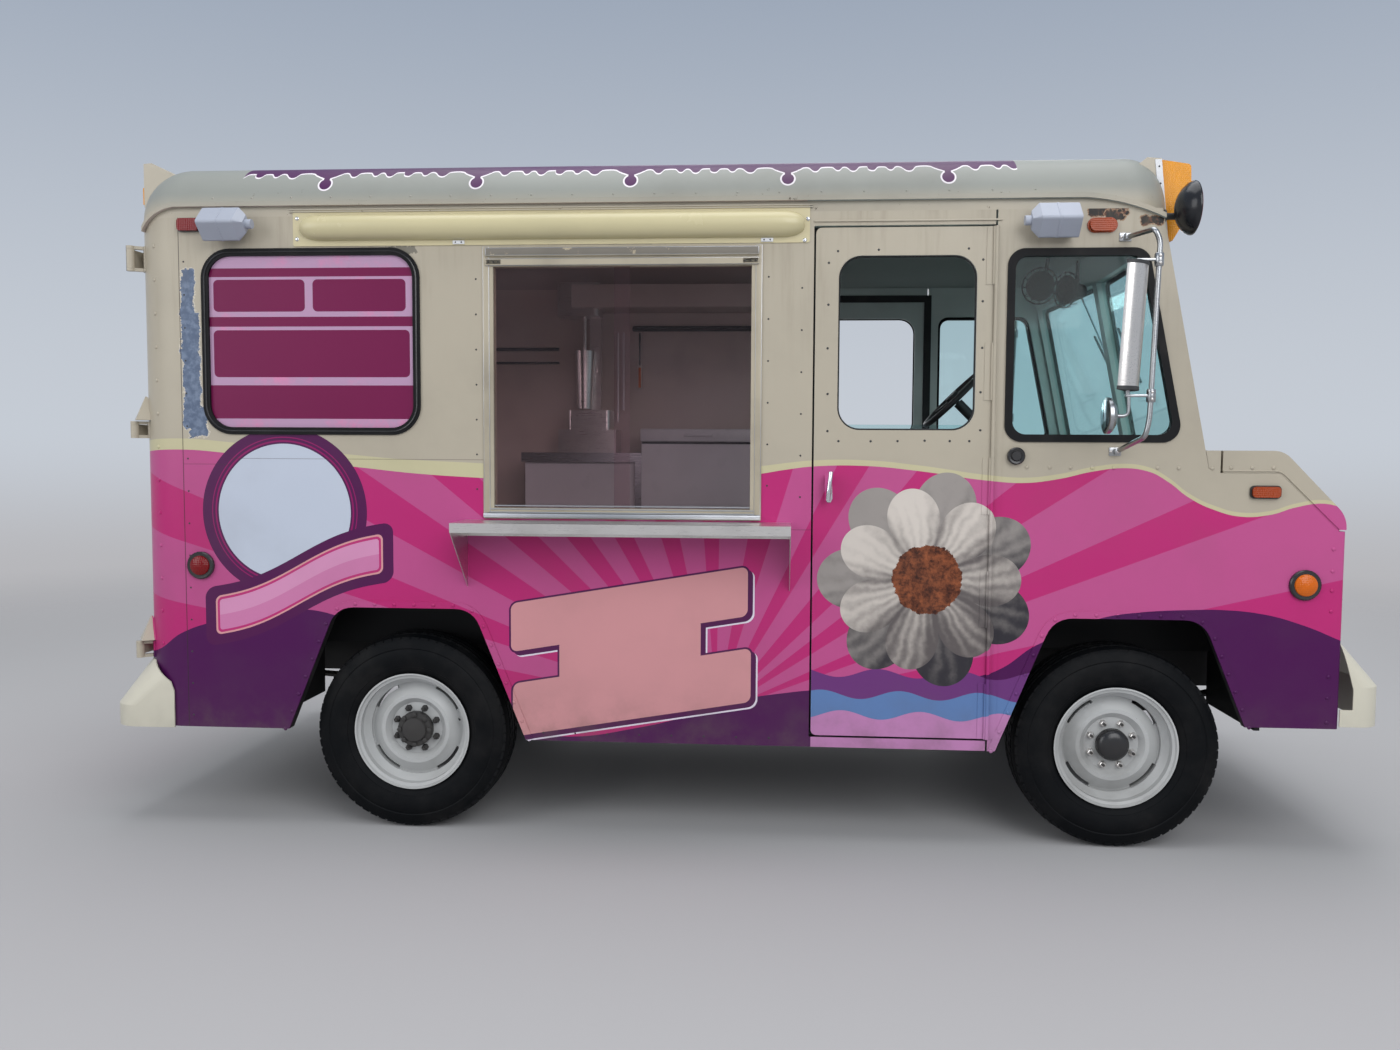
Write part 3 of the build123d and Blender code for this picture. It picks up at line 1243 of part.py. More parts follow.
# Lamps, horns and signs
def side_lamps():
    y_wall = -half_width
    made = []
    oval = side_plate(Pos(x_front_axle - 115, z_roof_top - 308) * SlotOverall(104, 52), y_wall - 20, y_wall)
    marker = side_plate(rounded(x_front_axle + 416, x_front_axle + 525, 1287, 1335, 18), y_wall - 16, y_wall)
    turn = side_plate(Pos(x_front_axle + 617, 984) * Circle(53), y_wall - 30, y_wall)
    tail = side_plate(Pos(x_rear_seam + 62, 1004) * Circle(50), y_wall - 25, y_wall)
    top = side_plate(rounded(x_rear_seam + 2, x_rear_seam + 90, z_roof_top - 305, z_roof_top - 252, 8), y_wall - 24,
                     y_wall)
    for lamp in (oval, marker, turn, tail, top):
        made.append(lamp)
        made.append(other_side(lamp))
    return made


head_lamps = [rod_x(y, lamp_z, lamp_r - 0.3, x_nose - 30, x_nose + 14) for y in (-lamp_y, lamp_y)]
tail_lamps = [rod_x(side * y, tail_lamp_z, tail_lamp_r, x_rear_bumper + 1, x_rear_bumper + 24)
              for side in (-1, 1) for y in tail_lamp_ys]
keep("lamps", *side_lamps(), *head_lamps, *tail_lamps)


speaker_side = 90.0
speaker_length = 132.0
speaker_taper = 26.0
speaker_y = half_width + 65.0


def box_speaker(x_grille, z, facing_front):
    """A square speaker rolled onto its edge, with its grille at x_grille, on a foot from the wall."""
    section = Rot(0, 0, 45) * RectangleRounded(speaker_side, speaker_side, 10)
    body = cross_plate(section, -speaker_length, 0)
    back = Plane(origin=(-speaker_length, 0, 0), x_dir=(0, 1, 0), z_dir=(-1, 0, 0)) * section
    body = body + extrude(back, speaker_taper, taper=40)
    body = body + rod_x(0, 0, 17, -speaker_length - speaker_taper - 22, -speaker_length - speaker_taper + 1)
    turned = body if facing_front else Rot(0, 0, 180) * body
    x_mid = x_grille - speaker_length / 2 if facing_front else x_grille + speaker_length / 2
    foot = block(x_mid - 15, x_mid + 15, -speaker_y, -half_width, z - 12, z + 12)
    return Pos(x_grille, -speaker_y, z) * turned + foot


keep("speakers", box_speaker(x_rear_seam + 135, z_roof_top - 289, False),
     box_speaker(x_front_axle - 215, z_roof_top - 302, True))

front_sign_half = half_width - 95.0
rear_sign_half = half_width - 195.0
sign_low = z_roof_top - 357.0
sign_fin_top = z_roof_top - 52.0
sign_lens_back = x_front_axle + 144.0
sign_lean = 0.107


def sign_back(z):
    """X of the front sign's back plane at a height."""
    return sign_lens_back - (z - sign_low) * sign_lean


def front_sign():
    back = outline([(sign_back(sign_low) - 16, sign_low), (sign_back(sign_low), sign_low),
                    (sign_back(sign_fin_top - 4), sign_fin_top - 4), (x_front_axle + 61, sign_fin_top),
                    (x_front_axle - 7, sign_fin_top - 56), (x_front_axle - 7, sign_fin_top - 150),
                    (x_front_axle + 60, sign_fin_top - 150), (x_front_axle + 95, z_roof_base)])
    lens = outline([(sign_back(sign_low + 12), sign_low + 12), (x_front_axle + 160, sign_low + 12),
                    (x_front_axle + 185, sign_low + 55), (x_front_axle + 221, sign_low + 187),
                    (x_front_axle + 217, sign_low + 281), (sign_back(sign_low + 298), sign_low + 298)])
    corner = lens.vertices().sort_by_distance((x_front_axle + 217, sign_low + 281, 0))[0]
    return back, fillet(corner, 14)


back, lens = front_sign()
roof_solid = roof_form(0)
screen_solid = screen_prism(-half_width, half_width, 0, 400, z_belt, z_roof_base)
front_back = side_plate(back, -front_sign_half, front_sign_half) - roof_solid - screen_solid
rear_sign_low = z_roof_top - 168.0
rear_sign_x = x_rear - 24.0
rear_back = side_plate(outline([(rear_sign_x, rear_sign_low), (rear_sign_x, z_roof_top - 3),
                                (x_rear + 8, z_roof_top), (x_rear + 150, z_roof_top - 70),
                                (x_rear + 150, rear_sign_low)]), -rear_sign_half, rear_sign_half) - roof_solid
sign_shells = [s for s in front_back.solids() + rear_back.solids() if s.volume > 200000]
keep("roof_signs", *sign_shells)
rear_lens = block(rear_sign_x - 16, rear_sign_x, -rear_sign_half + 20, rear_sign_half - 20, rear_sign_low + 14,
                  rear_sign_low + 78)
front_lens = side_plate(lens, -front_sign_half + 8, front_sign_half - 8) - roof_solid - screen_solid
keep("sign_lenses", front_lens.solids().sort_by(SortBy.VOLUME)[-1], rear_lens)

warning_r = 92.0
warning_depth = 60.0
warning_rim = 8.0
warning_crown = 12.0


def warning_lamp():
    """A flat lens in a shallow domed hood, on a stem from the pillar."""
    x = x_front_axle + 180
    y = -half_width - 40
    z = z_roof_top - 260
    r, d = warning_r, warning_depth
    lines = Curve() + [Line((0, 0), (0, r)), Line((0, r), (-warning_rim, r)),
                       ThreePointArc((-warning_rim, r), (-d * 0.8, r * 0.55), (-d, warning_crown)),
                       Line((-d, warning_crown), (-d, 0)), Line((-d, 0), (0, 0))]
    dome = Pos(x, y, z) * revolve(make_face(lines), Axis.X)
    return dome + rod_x(-half_width + 20, z - 16, 12, pillar_line(z - 28) + 1.5, x - 20)


keep("warning_lamps", warning_lamp(), other_side(warning_lamp()))


def write_parts():
    os.makedirs("parts", exist_ok=True)
    for name, solids in parts.items():
        shape = solids[0] if len(solids) == 1 else Compound(children=solids)
        export_step(shape, os.path.join("parts", name + ".step"))


write_parts()
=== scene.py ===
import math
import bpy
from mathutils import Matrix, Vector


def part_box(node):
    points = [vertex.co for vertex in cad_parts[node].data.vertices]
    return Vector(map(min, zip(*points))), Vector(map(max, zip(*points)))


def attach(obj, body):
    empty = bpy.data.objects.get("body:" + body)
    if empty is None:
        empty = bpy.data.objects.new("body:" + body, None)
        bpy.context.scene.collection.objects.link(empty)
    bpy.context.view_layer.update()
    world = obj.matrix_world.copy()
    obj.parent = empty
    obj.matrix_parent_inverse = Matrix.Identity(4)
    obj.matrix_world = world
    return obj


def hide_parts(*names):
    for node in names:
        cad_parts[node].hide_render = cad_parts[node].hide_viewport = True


bl_info = {
    "name": "Food truck dressing",
    "version": (1, 0, 0),
    "blender": (4, 5, 0),
    "location": "View3D > Sidebar > Food truck",
    "description": "Paints and fits out the packed model of a hooded walk-in food truck",
    "category": "Object",
}

import bmesh
import bpy
from bpy.props import FloatProperty, FloatVectorProperty, IntProperty, PointerProperty
from mathutils import Matrix, Vector

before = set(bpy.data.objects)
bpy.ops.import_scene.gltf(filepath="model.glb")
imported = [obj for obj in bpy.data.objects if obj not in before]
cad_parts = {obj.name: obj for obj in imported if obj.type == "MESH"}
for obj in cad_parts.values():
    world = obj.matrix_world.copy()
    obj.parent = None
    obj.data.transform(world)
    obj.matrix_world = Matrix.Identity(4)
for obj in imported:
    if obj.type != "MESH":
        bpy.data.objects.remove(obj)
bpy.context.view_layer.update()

# Fixed places on the truck, in metres
FRONT_AXLE = 1.445
REAR_AXLE = -1.180
AXLE_Z = 0.371
WHEEL_Y = 0.8245
SIDE = 0.975
INSIDE = 0.935
CORNER = 0.200
CAB_START = 0.30
PILLAR_X = 1.708
PILLAR_Z = 1.456
PILLAR_SLOPE = 0.2041
SCREEN_VEE = 0.045
NOSE_X = 2.197
REAR_X = -2.245
FRONT_BUMPER_X = 2.350
REAR_BUMPER_X = -2.350
BUMPER_LAMP_Z = 0.421
HATCH = (-0.866, 0.130)
DOOR_WINDOW = (0.415, 0.903, 1.523, 2.143)
STUD_CIRCLE = 0.08255
TYRE_RADIUS = 0.371
MIRROR_TURN = 26
AXLES = (("front", FRONT_AXLE), ("rear", REAR_AXLE))
HANDS = ((-1, "right"), (1, "left"))


def srgb(red, green, blue):
    """Linear colour from screen values."""
    out = []
    for value in (red, green, blue):
        c = value / 255
        out.append(c / 12.92 if c <= 0.04045 else ((c + 0.055) / 1.055) ** 2.4)
    return tuple(out)


def rgba(colour):
    return (*colour[:3], 1.0)


def opaque(red, green, blue):
    """A shader colour from screen values."""
    return rgba(srgb(red, green, blue))


def dimmed(colour, share):
    return rgba([value * share for value in colour])


def colour_prop(label, text, value):
    return FloatVectorProperty(name=label, description=text, subtype="COLOR", size=3, min=0, max=1,
                               default=srgb(*value))


def size_prop(label, text, value, low=0.0):
    return FloatProperty(name=label, description=text, default=value, min=low, unit="LENGTH", precision=4)


class TruckColours(bpy.types.PropertyGroup):
    """Finishes of the truck."""

    cream: colour_prop("Cream", "Upper body enamel", (174, 166, 150))
    band: colour_prop("Pale band", "Stripe along the top of the pink", (190, 184, 150))
    pink: colour_prop("Light ray", "Lighter of the two pinks", (184, 80, 136))
    deep_pink: colour_prop("Dark ray", "Deeper of the two pinks", (182, 42, 112))
    purple: colour_prop("Purple", "Lower body and drips", (72, 14, 76))
    ring: colour_prop("Ring", "Ring of the round sign", (78, 22, 74))
    peach: colour_prop("Peach", "Blank stepped sign panel", (206, 146, 150))
    board: colour_prop("Menu boxes", "Boxes of the blank menu board", (112, 14, 70))
    marble: colour_prop("Menu ground", "Ground of the blank menu board", (176, 142, 172))
    awning: colour_prop("Awning", "Awning housing enamel", (194, 185, 148))
    bumper: colour_prop("Bumper", "Bumper enamel", (206, 202, 186))
    wheel: colour_prop("Wheel", "Wheel enamel", (190, 192, 192))
    roof: colour_prop("Roof", "Weathered roof enamel", (138, 141, 136))
    cab_inside: colour_prop("Cab lining", "Inside of the cab", (196, 206, 202))
    kitchen: colour_prop("Service lining", "Inside of the service body", (214, 200, 192))


class TruckSizes(bpy.types.PropertyGroup):
    """Sizes of the truck's small fittings."""

    rivet_radius: size_prop("Rivet radius", "Radius of a body rivet's head", 0.0075)
    rivet_rise: size_prop("Rivet rise", "Height of a body rivet's head", 0.0035)
    screw_radius: size_prop("Screw radius", "Radius of a panel screw's head", 0.0045)
    flange_width: size_prop("Arch flange", "Width of the strip round each wheel arch", 0.026)
    flange_rise: size_prop("Arch flange thickness", "How far the strip stands proud", 0.003)
    tread_depth: size_prop("Tread depth", "Depth of the tyre tread", 0.009)
    tread_lugs: IntProperty(name="Tread lugs", description="Shoulder lugs round a tyre", default=64, min=8)
    floor_radius: size_prop("Floor radius", "Radius of the studio floor", 40.0)


def colours():
    return bpy.context.scene.truck_colours


def sizes():
    return bpy.context.scene.truck_sizes


# Node trees


class Sheet:
    """Builds a node tree with short calls."""

    def __init__(self, tree):
        self.tree = tree
        self.nodes = tree.nodes
        self.links = tree.links

    def put(self, socket, value):
        if isinstance(value, bpy.types.NodeSocket):
            self.links.new(value, socket)
        else:
            socket.default_value = value

    def add(self, kind, values=None, **settings):
        node = self.nodes.new(kind)
        for key, value in settings.items():
            setattr(node, key, value)
        for key, value in (values or {}).items():
            self.put(node.inputs[key], value)
        return node

    def math(self, operation, *values, clamp=False):
        node = self.add("ShaderNodeMath", operation=operation, use_clamp=clamp)
        for i, value in enumerate(values):
            self.put(node.inputs[i], value)
        return node.outputs[0]

    def plus(self, a, b):
        return self.math("ADD", a, b)

    def minus(self, a, b):
        return self.math("SUBTRACT", a, b)

    def times(self, a, b):
        return self.math("MULTIPLY", a, b)

    def vector(self, operation, *values):
        node = self.add("ShaderNodeVectorMath", operation=operation)
        for i, value in enumerate(values):
            self.put(node.inputs[i], value)
        return node.outputs["Value" if operation in ("LENGTH", "DOT_PRODUCT") else "Vector"]

    def mix(self, factor, a, b, blend="MIX"):
        node = self.add("ShaderNodeMix", data_type="RGBA", blend_type=blend)
        self.put(node.inputs[0], factor)
        self.put(node.inputs[6], a)
        self.put(node.inputs[7], b)
        return node.outputs[2]

    def less(self, value, limit):
        return self.math("LESS_THAN", value, limit)

    def more(self, value, limit):
        return self.math("GREATER_THAN", value, limit)

    def both(self, *masks):
        out = masks[0]
        for mask in masks[1:]:
            out = self.times(out, mask)
        return out

    def either(self, *masks):
        out = masks[0]
        for mask in masks[1:]:
            out = self.math("MAXIMUM", out, mask)
        return out

    def span(self, value, low, high):
        return self.both(self.more(value, low), self.less(value, high))

    def smooth(self, value, low, high):
        node = self.add("ShaderNodeMapRange", {0: value, 1: low, 2: high}, interpolation_type="SMOOTHSTEP")
        return node.outputs[0]

    def noise(self, point, scale, detail=3.0, roughness=0.55, stretch=None):
        if stretch:
            point = self.vector("MULTIPLY", point, stretch)
        node = self.add("ShaderNodeTexNoise", {"Vector": point, "Scale": scale, "Detail": detail,
                                               "Roughness": roughness})
        return node.outputs["Fac"]

    def point(self):
        """The place on the truck, the same for every piece because each one sits at the origin."""
        return self.add("ShaderNodeTexCoord").outputs["Object"]

    def split(self, point):
        node = self.add("ShaderNodeSeparateXYZ", {0: point})
        return node.outputs[0], node.outputs[1], node.outputs[2]

    def join(self, x, y, z):
        node = self.add("ShaderNodeCombineXYZ")
        for i, value in enumerate((x, y, z)):
            self.put(node.inputs[i], value)
        return node.outputs[0]

    def curve(self, value, points, low, high):
        """A smooth line through points, as a height for each place along the truck."""
        x0, x1 = points[0][0], points[-1][0]
        share = self.math("DIVIDE", self.minus(value, x0), x1 - x0, clamp=True)
        node = self.add("ShaderNodeFloatCurve", {"Value": share})
        line = node.mapping.curves[0].points
        scaled = [((x - x0) / (x1 - x0), (z - low) / (high - low)) for x, z in points]
        line[0].location = scaled[0]
        line[1].location = scaled[-1]
        for place in scaled[1:-1]:
            line.new(*place)
        node.mapping.update()
        return self.plus(self.times(node.outputs[0], high - low), low)

    def box_distance(self, point, centre, half, radius):
        """Signed distance to a box with rounded corners."""
        away = self.vector("ABSOLUTE", self.vector("SUBTRACT", point, centre))
        core = tuple(h - radius for h in half)
        outside = self.vector("MAXIMUM", self.vector("SUBTRACT", away, core), (0, 0, 0))
        return self.minus(self.vector("LENGTH", outside), radius)

    def nearest_box(self, point, boxes, radius):
        """Signed distance to the nearest of several boxes, each given by its centre and half size."""
        first, *others = [self.box_distance(point, centre, half, radius) for centre, half in boxes]
        for distance in others:
            first = self.math("MINIMUM", first, distance)
        return first

    def bump(self, height, strength, distance, normal=None):
        values = {"Height": height, "Strength": strength, "Distance": distance}
        if normal is not None:
            values["Normal"] = normal
        return self.add("ShaderNodeBump", values).outputs[0]


def new_material(name):
    material = bpy.data.materials.new(name)
    material.use_nodes = True
    material.node_tree.nodes.clear()
    return material, Sheet(material.node_tree)


def surface(sheet, **values):
    """A principled shader joined to the output."""
    shader = sheet.add("ShaderNodeBsdfPrincipled")
    for key, value in values.items():
        sheet.put(shader.inputs[key.replace("_", " ")], value)
    sheet.add("ShaderNodeOutputMaterial", {0: shader.outputs[0]})


def aged(sheet, point, colour, dirt=0.16, grime=(0.10, 0.09, 0.08), scale=2.2):
    """Fade and grime over a colour, heavier low on the body."""
    z = sheet.split(point)[2]
    cloud = sheet.noise(point, scale, 5.0, 0.6)
    low = sheet.smooth(z, 0.75, 0.25)
    amount = sheet.times(sheet.smooth(cloud, 0.42, 0.78), dirt)
    amount = sheet.plus(amount, sheet.times(low, sheet.times(cloud, dirt * 1.6)))
    return sheet.mix(amount, colour, rgba(grime))


MATERIALS = {}


def paint(name, colour, rough=0.38, dirt=0.14, chips=0.0, chip_colour=(0.05, 0.04, 0.035)):
    """Old enamel with faint waviness, grime and, where wanted, chips."""
    material, s = new_material(name)
    p = s.point()
    base = aged(s, p, rgba(colour), dirt)
    if chips:
        flakes = s.noise(p, 14.0, 8.0, 0.7)
        base = s.mix(s.more(flakes, 1.0 - chips), base, rgba(chip_colour))
    grain = s.noise(p, 260.0, 2.0)
    wave = s.noise(p, 3.0, 1.0)
    normal = s.bump(grain, 0.10, 0.0004, s.bump(wave, 0.35, 0.004))
    roughness = s.plus(s.times(s.noise(p, 9.0, 4.0), 0.2), rough - 0.1)
    surface(s, Base_Color=base, Roughness=roughness, Normal=normal, Specular_IOR_Level=0.4)
    MATERIALS[name] = material


def metal(name, colour, rough=0.3, wear=0.25):
    """Bare metal with drawn lines."""
    material, s = new_material(name)
    p = s.point()
    lines = s.noise(p, 6.0, 4.0, 0.6, (2.0, 60.0, 60.0))
    stain = s.noise(p, 5.0, 4.0)
    base = s.mix(s.times(s.smooth(stain, 0.4, 0.8), wear), rgba(colour), (0.16, 0.14, 0.12, 1))
    roughness = s.plus(s.times(lines, 0.22), rough - 0.08)
    surface(s, Base_Color=base, Metallic=1.0, Roughness=roughness, Normal=s.bump(lines, 0.12, 0.0008))
    MATERIALS[name] = material


def plastic(name, colour, rough=0.35, grain=0.0):
    material, s = new_material(name)
    p = s.point()
    tone = s.mix(s.times(s.noise(p, 7.0, 4.0), 0.22), rgba(colour), (0.12, 0.115, 0.11, 1))
    surface(s, Base_Color=tone, Roughness=rough, Normal=s.bump(s.noise(p, 420.0, 3.0), 0.15 + grain, 0.0006))
    MATERIALS[name] = material


def lens(name, colour, rough=0.12):
    """A moulded lamp lens with fine flutes."""
    material, s = new_material(name)
    p = s.point()
    x, y, z = s.split(p)
    flute = s.math("SINE", s.times(z, 900.0))
    cross = s.math("SINE", s.times(s.plus(x, y), 900.0))
    tone = s.mix(s.times(s.noise(p, 30.0), 0.25), rgba(colour), (0.02, 0.01, 0.01, 1))
    surface(s, Base_Color=tone, Roughness=rough, Specular_IOR_Level=0.35,
            Normal=s.bump(s.plus(flute, cross), 0.25, 0.0008))
    MATERIALS[name] = material


def rubber(name, colour=(0.005, 0.005, 0.006), rough=0.55, dust=0.10):
    material, s = new_material(name)
    p = s.point()
    dusty = s.times(s.smooth(s.noise(p, 6.0, 6.0, 0.65), 0.45, 0.8), dust)
    base = s.mix(dusty, rgba(colour), (0.22, 0.20, 0.18, 1))
    surface(s, Base_Color=base, Roughness=rough, Specular_IOR_Level=0.18,
            Normal=s.bump(s.noise(p, 300.0, 2.0), 0.2, 0.0006))
    MATERIALS[name] = material


# Lines of the side livery, from the rear of the truck to its nose
WAVE = ((-2.245, 1.430), (-2.03, 1.440), (-1.859, 1.428), (-1.62, 1.404), (-1.375, 1.380), (-1.136, 1.356),
        (-0.866, 1.340), (-0.50, 1.322), (-0.15, 1.335), (0.131, 1.362), (0.228, 1.378), (0.329, 1.391),
        (0.523, 1.394), (0.717, 1.376), (0.948, 1.345), (1.085, 1.337), (1.209, 1.353), (1.320, 1.379),
        (1.431, 1.392), (1.505, 1.383), (1.58, 1.346), (1.656, 1.289), (1.74, 1.248), (1.842, 1.223),
        (1.933, 1.230), (2.023, 1.258), (2.113, 1.272), (2.168, 1.262), (2.224, 1.245))
LOWER = ((-2.245, 0.655), (-2.180, 0.668), (-2.044, 0.748), (-1.958, 0.780), (-1.717, 0.829), (-1.514, 0.836),
         (-1.10, 0.560), (-0.80, 0.420), (-0.60, 0.380), (-0.30, 0.420), (0.0, 0.505), (0.124, 0.542),
         (0.220, 0.558), (0.329, 0.572), (0.60, 0.590), (0.95, 0.640), (1.15, 0.760), (1.381, 0.860),
         (1.52, 0.880), (1.669, 0.889), (1.779, 0.891), (1.917, 0.879), (2.055, 0.843), (2.190, 0.789),
         (2.224, 0.775))
BAND = ((-2.245, 0.042), (-1.375, 0.044), (-0.90, 0.054), (-0.20, 0.046), (0.33, 0.022), (0.948, 0.020),
        (1.40, 0.016), (2.0, 0.014), (2.224, 0.012))
RAY_CENTRE = (-0.015, 0.480)
RAY_EDGES = (13.2, 20.6, 25.1, 32.4, 38.0, 44.1, 50.7, 58.8, 64.5, 73.0, 79.5, 88.7, 94.2, 101.9, 107.1,
             114.8, 119.6, 125.8, 130.2, 135.7, 140.0, 146.0, 151.4, 158.2, 162.7, 168.8)
SIGN_ROWS = (((-0.341, 0, 0.160), (0.443, 1, 0.094)), ((-0.336, 0, 0.0), (0.266, 1, 0.090)),
             ((-0.331, 0, -0.151), (0.446, 1, 0.103)))
ROUND_SIGN = (-1.641, 0, 1.209)
BLOOM = (0.745, 0.985)


def draw_sign(s, colour, flat, c):
    """A blank stepped panel with a dark edge and a pale shadow."""
    x, _, z = s.split(flat)
    tilt = s.times(s.plus(x, 0.335), 0.1685)
    slanted = s.join(x, 0.0, s.minus(s.minus(z, 0.700), tilt))
    face = s.mix(s.times(s.noise(flat, 1.6), 0.35), rgba(c.peach), dimmed(c.peach, 0.72))
    layers = (((-0.020, 0, 0.020), 0.002, (0.70, 0.64, 0.74, 1)), ((-0.014, 0, 0.014), 0.002, rgba(c.ring)),
              ((0, 0, 0), 0.004, rgba(c.ring)), ((0, 0, 0), -0.003, face))
    for shift, limit, fill in layers:
        distance = s.nearest_box(s.vector("ADD", slanted, shift), SIGN_ROWS, 0.028)
        colour = s.mix(s.less(distance, limit), colour, fill)
    return colour


def draw_round_sign(s, colour, flat, c):
    """A blank white disc with rings, over a blank ribbon that rises to the front."""
    away = s.vector("LENGTH", s.vector("SUBTRACT", flat, ROUND_SIGN))
    magenta = opaque(136, 24, 92)
    white = s.mix(s.times(s.noise(flat, 2.0), 0.3), opaque(188, 196, 210), opaque(164, 172, 190))
    rings = ((0.317, rgba(c.ring)), (0.281, magenta), (0.277, rgba(c.ring)), (0.268, magenta),
             (0.262, rgba(c.ring)), (0.255, white))
    for radius, fill in rings:
        colour = s.mix(s.less(away, radius), colour, fill)
    x, _, z = s.split(flat)
    run = s.plus(x, 1.590)
    lift = s.plus(s.times(run, 0.36), s.times(s.math("SINE", s.times(run, 9.0)), 0.022))
    level = s.minus(s.minus(z, 0.935), lift)
    ribbon = s.join(run, 0.0, level)
    pale = s.mix(s.more(level, 0.0), opaque(196, 120, 164), opaque(204, 140, 178))
    layers = (((0.365, 1, 0.112), 0.04, rgba(c.ring)), ((0.325, 1, 0.074), 0.022, rgba(c.peach)),
              ((0.318, 1, 0.067), 0.018, opaque(180, 48, 112)), ((0.310, 1, 0.058), 0.012, pale))
    for half, radius, fill in layers:
        colour = s.mix(s.less(s.box_distance(ribbon, (0, 0, 0), half, radius), 0.0), colour, fill)
    return colour


def draw_bloom(s, colour, flat):
    """A plain flower: grey back petals, pale front petals, a brown crumbly centre, over three waves."""
    x, _, z = s.split(flat)
    crumb = s.noise(flat, 26.0, 6.0, 0.7)
    warp = s.noise(flat, 6.0, 3.0, 0.6)
    for level, fill in ((0.640, (104, 52, 116)), (0.560, (92, 124, 174)), (0.485, (188, 128, 178))):
        swell = s.times(s.math("SINE", s.times(s.plus(x, level), 22.0)), 0.016)
        here = s.both(s.less(z, s.plus(swell, level)), s.span(x, 0.333, 1.16))
        colour = s.mix(here, colour, opaque(*fill))
    dx = s.minus(x, BLOOM[0])
    dz = s.minus(z, BLOOM[1])
    away = s.vector("LENGTH", s.join(dx, 0.0, dz))
    angle = s.math("ARCTAN2", dz, dx)
    fold = s.math("SINE", s.plus(s.times(angle, 35.0), s.times(warp, 16.0)))
    lit = s.plus(s.times(dx, -0.8), s.times(dz, 1.4))
    for reach, turn, light, dark in ((0.395, 0.45, (150, 144, 140), (48, 46, 52)),
                                     (0.335, 0.0, (204, 196, 188), (92, 86, 86))):
        lobe = s.math("ABSOLUTE", s.math("COSINE", s.times(s.plus(angle, turn), 3.5)))
        edge = s.plus(s.times(s.math("POWER", lobe, 0.55), reach * 0.45), reach * 0.55)
        shade = s.plus(s.plus(lit, s.times(fold, 0.11)), s.times(lobe, 0.5))
        shade = s.plus(shade, s.times(crumb, 0.5))
        tone = s.mix(s.smooth(shade, 0.05, 1.15), opaque(*dark), opaque(*light))
        colour = s.mix(s.less(away, edge), colour, tone)
    ragged = s.plus(away, s.times(s.minus(crumb, 0.5), 0.05))
    bite = s.plus(crumb, s.times(s.noise(flat, 90.0, 3.0, 0.7), 0.4))
    tone = s.mix(s.smooth(bite, 0.5, 0.95), opaque(52, 24, 18), opaque(150, 84, 52))
    return s.mix(s.less(ragged, 0.125), colour, tone)


def draw_wear(s, colour, point, right):
    """Peeled strips, scrapes and rust, on the right side only."""
    ragged = s.times(s.minus(s.noise(point, 20.0, 8.0, 0.75), 0.5), 0.075)
    x, _, z = s.split(point)
    flat = s.join(s.plus(x, ragged), 0.0, s.plus(z, ragged))
    speckle = s.smooth(s.noise(point, 60.0, 4.0), 0.35, 0.7)
    peeled = (((-1.998, 0, 1.990), (0.026, 1, 0.120)), ((-1.990, 0, 1.735), (0.034, 1, 0.215)),
              ((-1.965, 0, 1.545), (0.036, 1, 0.055)))
    peel = s.nearest_box(flat, peeled, 0.01)
    colour = s.mix(s.both(s.less(peel, 0.003), right), colour, opaque(206, 198, 184))
    colour = s.mix(s.both(s.less(peel, 0.0), right), colour,
                   s.mix(speckle, opaque(84, 98, 122), opaque(112, 126, 148)))
    scraped = (((-1.183, 0, 2.176), (0.058, 1, 0.018)), ((-0.70, 0, 2.196), (0.070, 1, 0.005)),
               ((-0.30, 0, 2.196), (0.110, 1, 0.004)))
    scrape = s.nearest_box(flat, scraped, 0.004)
    colour = s.mix(s.both(s.less(scrape, 0.0), right), colour, opaque(122, 118, 108))
    hole = s.noise(point, 40.0, 5.0, 0.7)
    for centre, half in (((1.352, 0, 2.291), (0.066, 1, 0.016)), ((1.372, 0, 2.277), (0.030, 1, 0.020)),
                         ((1.500, 0, 2.258), (0.040, 1, 0.014))):
        distance = s.box_distance(flat, centre, half, 0.008)
        rust = s.mix(s.smooth(hole, 0.50, 0.62), opaque(16, 12, 11), opaque(96, 56, 38))
        colour = s.mix(s.both(s.less(distance, 0.004), right), colour, opaque(150, 118, 92))
        colour = s.mix(s.both(s.less(distance, 0.0), right), colour, rust)
    return colour


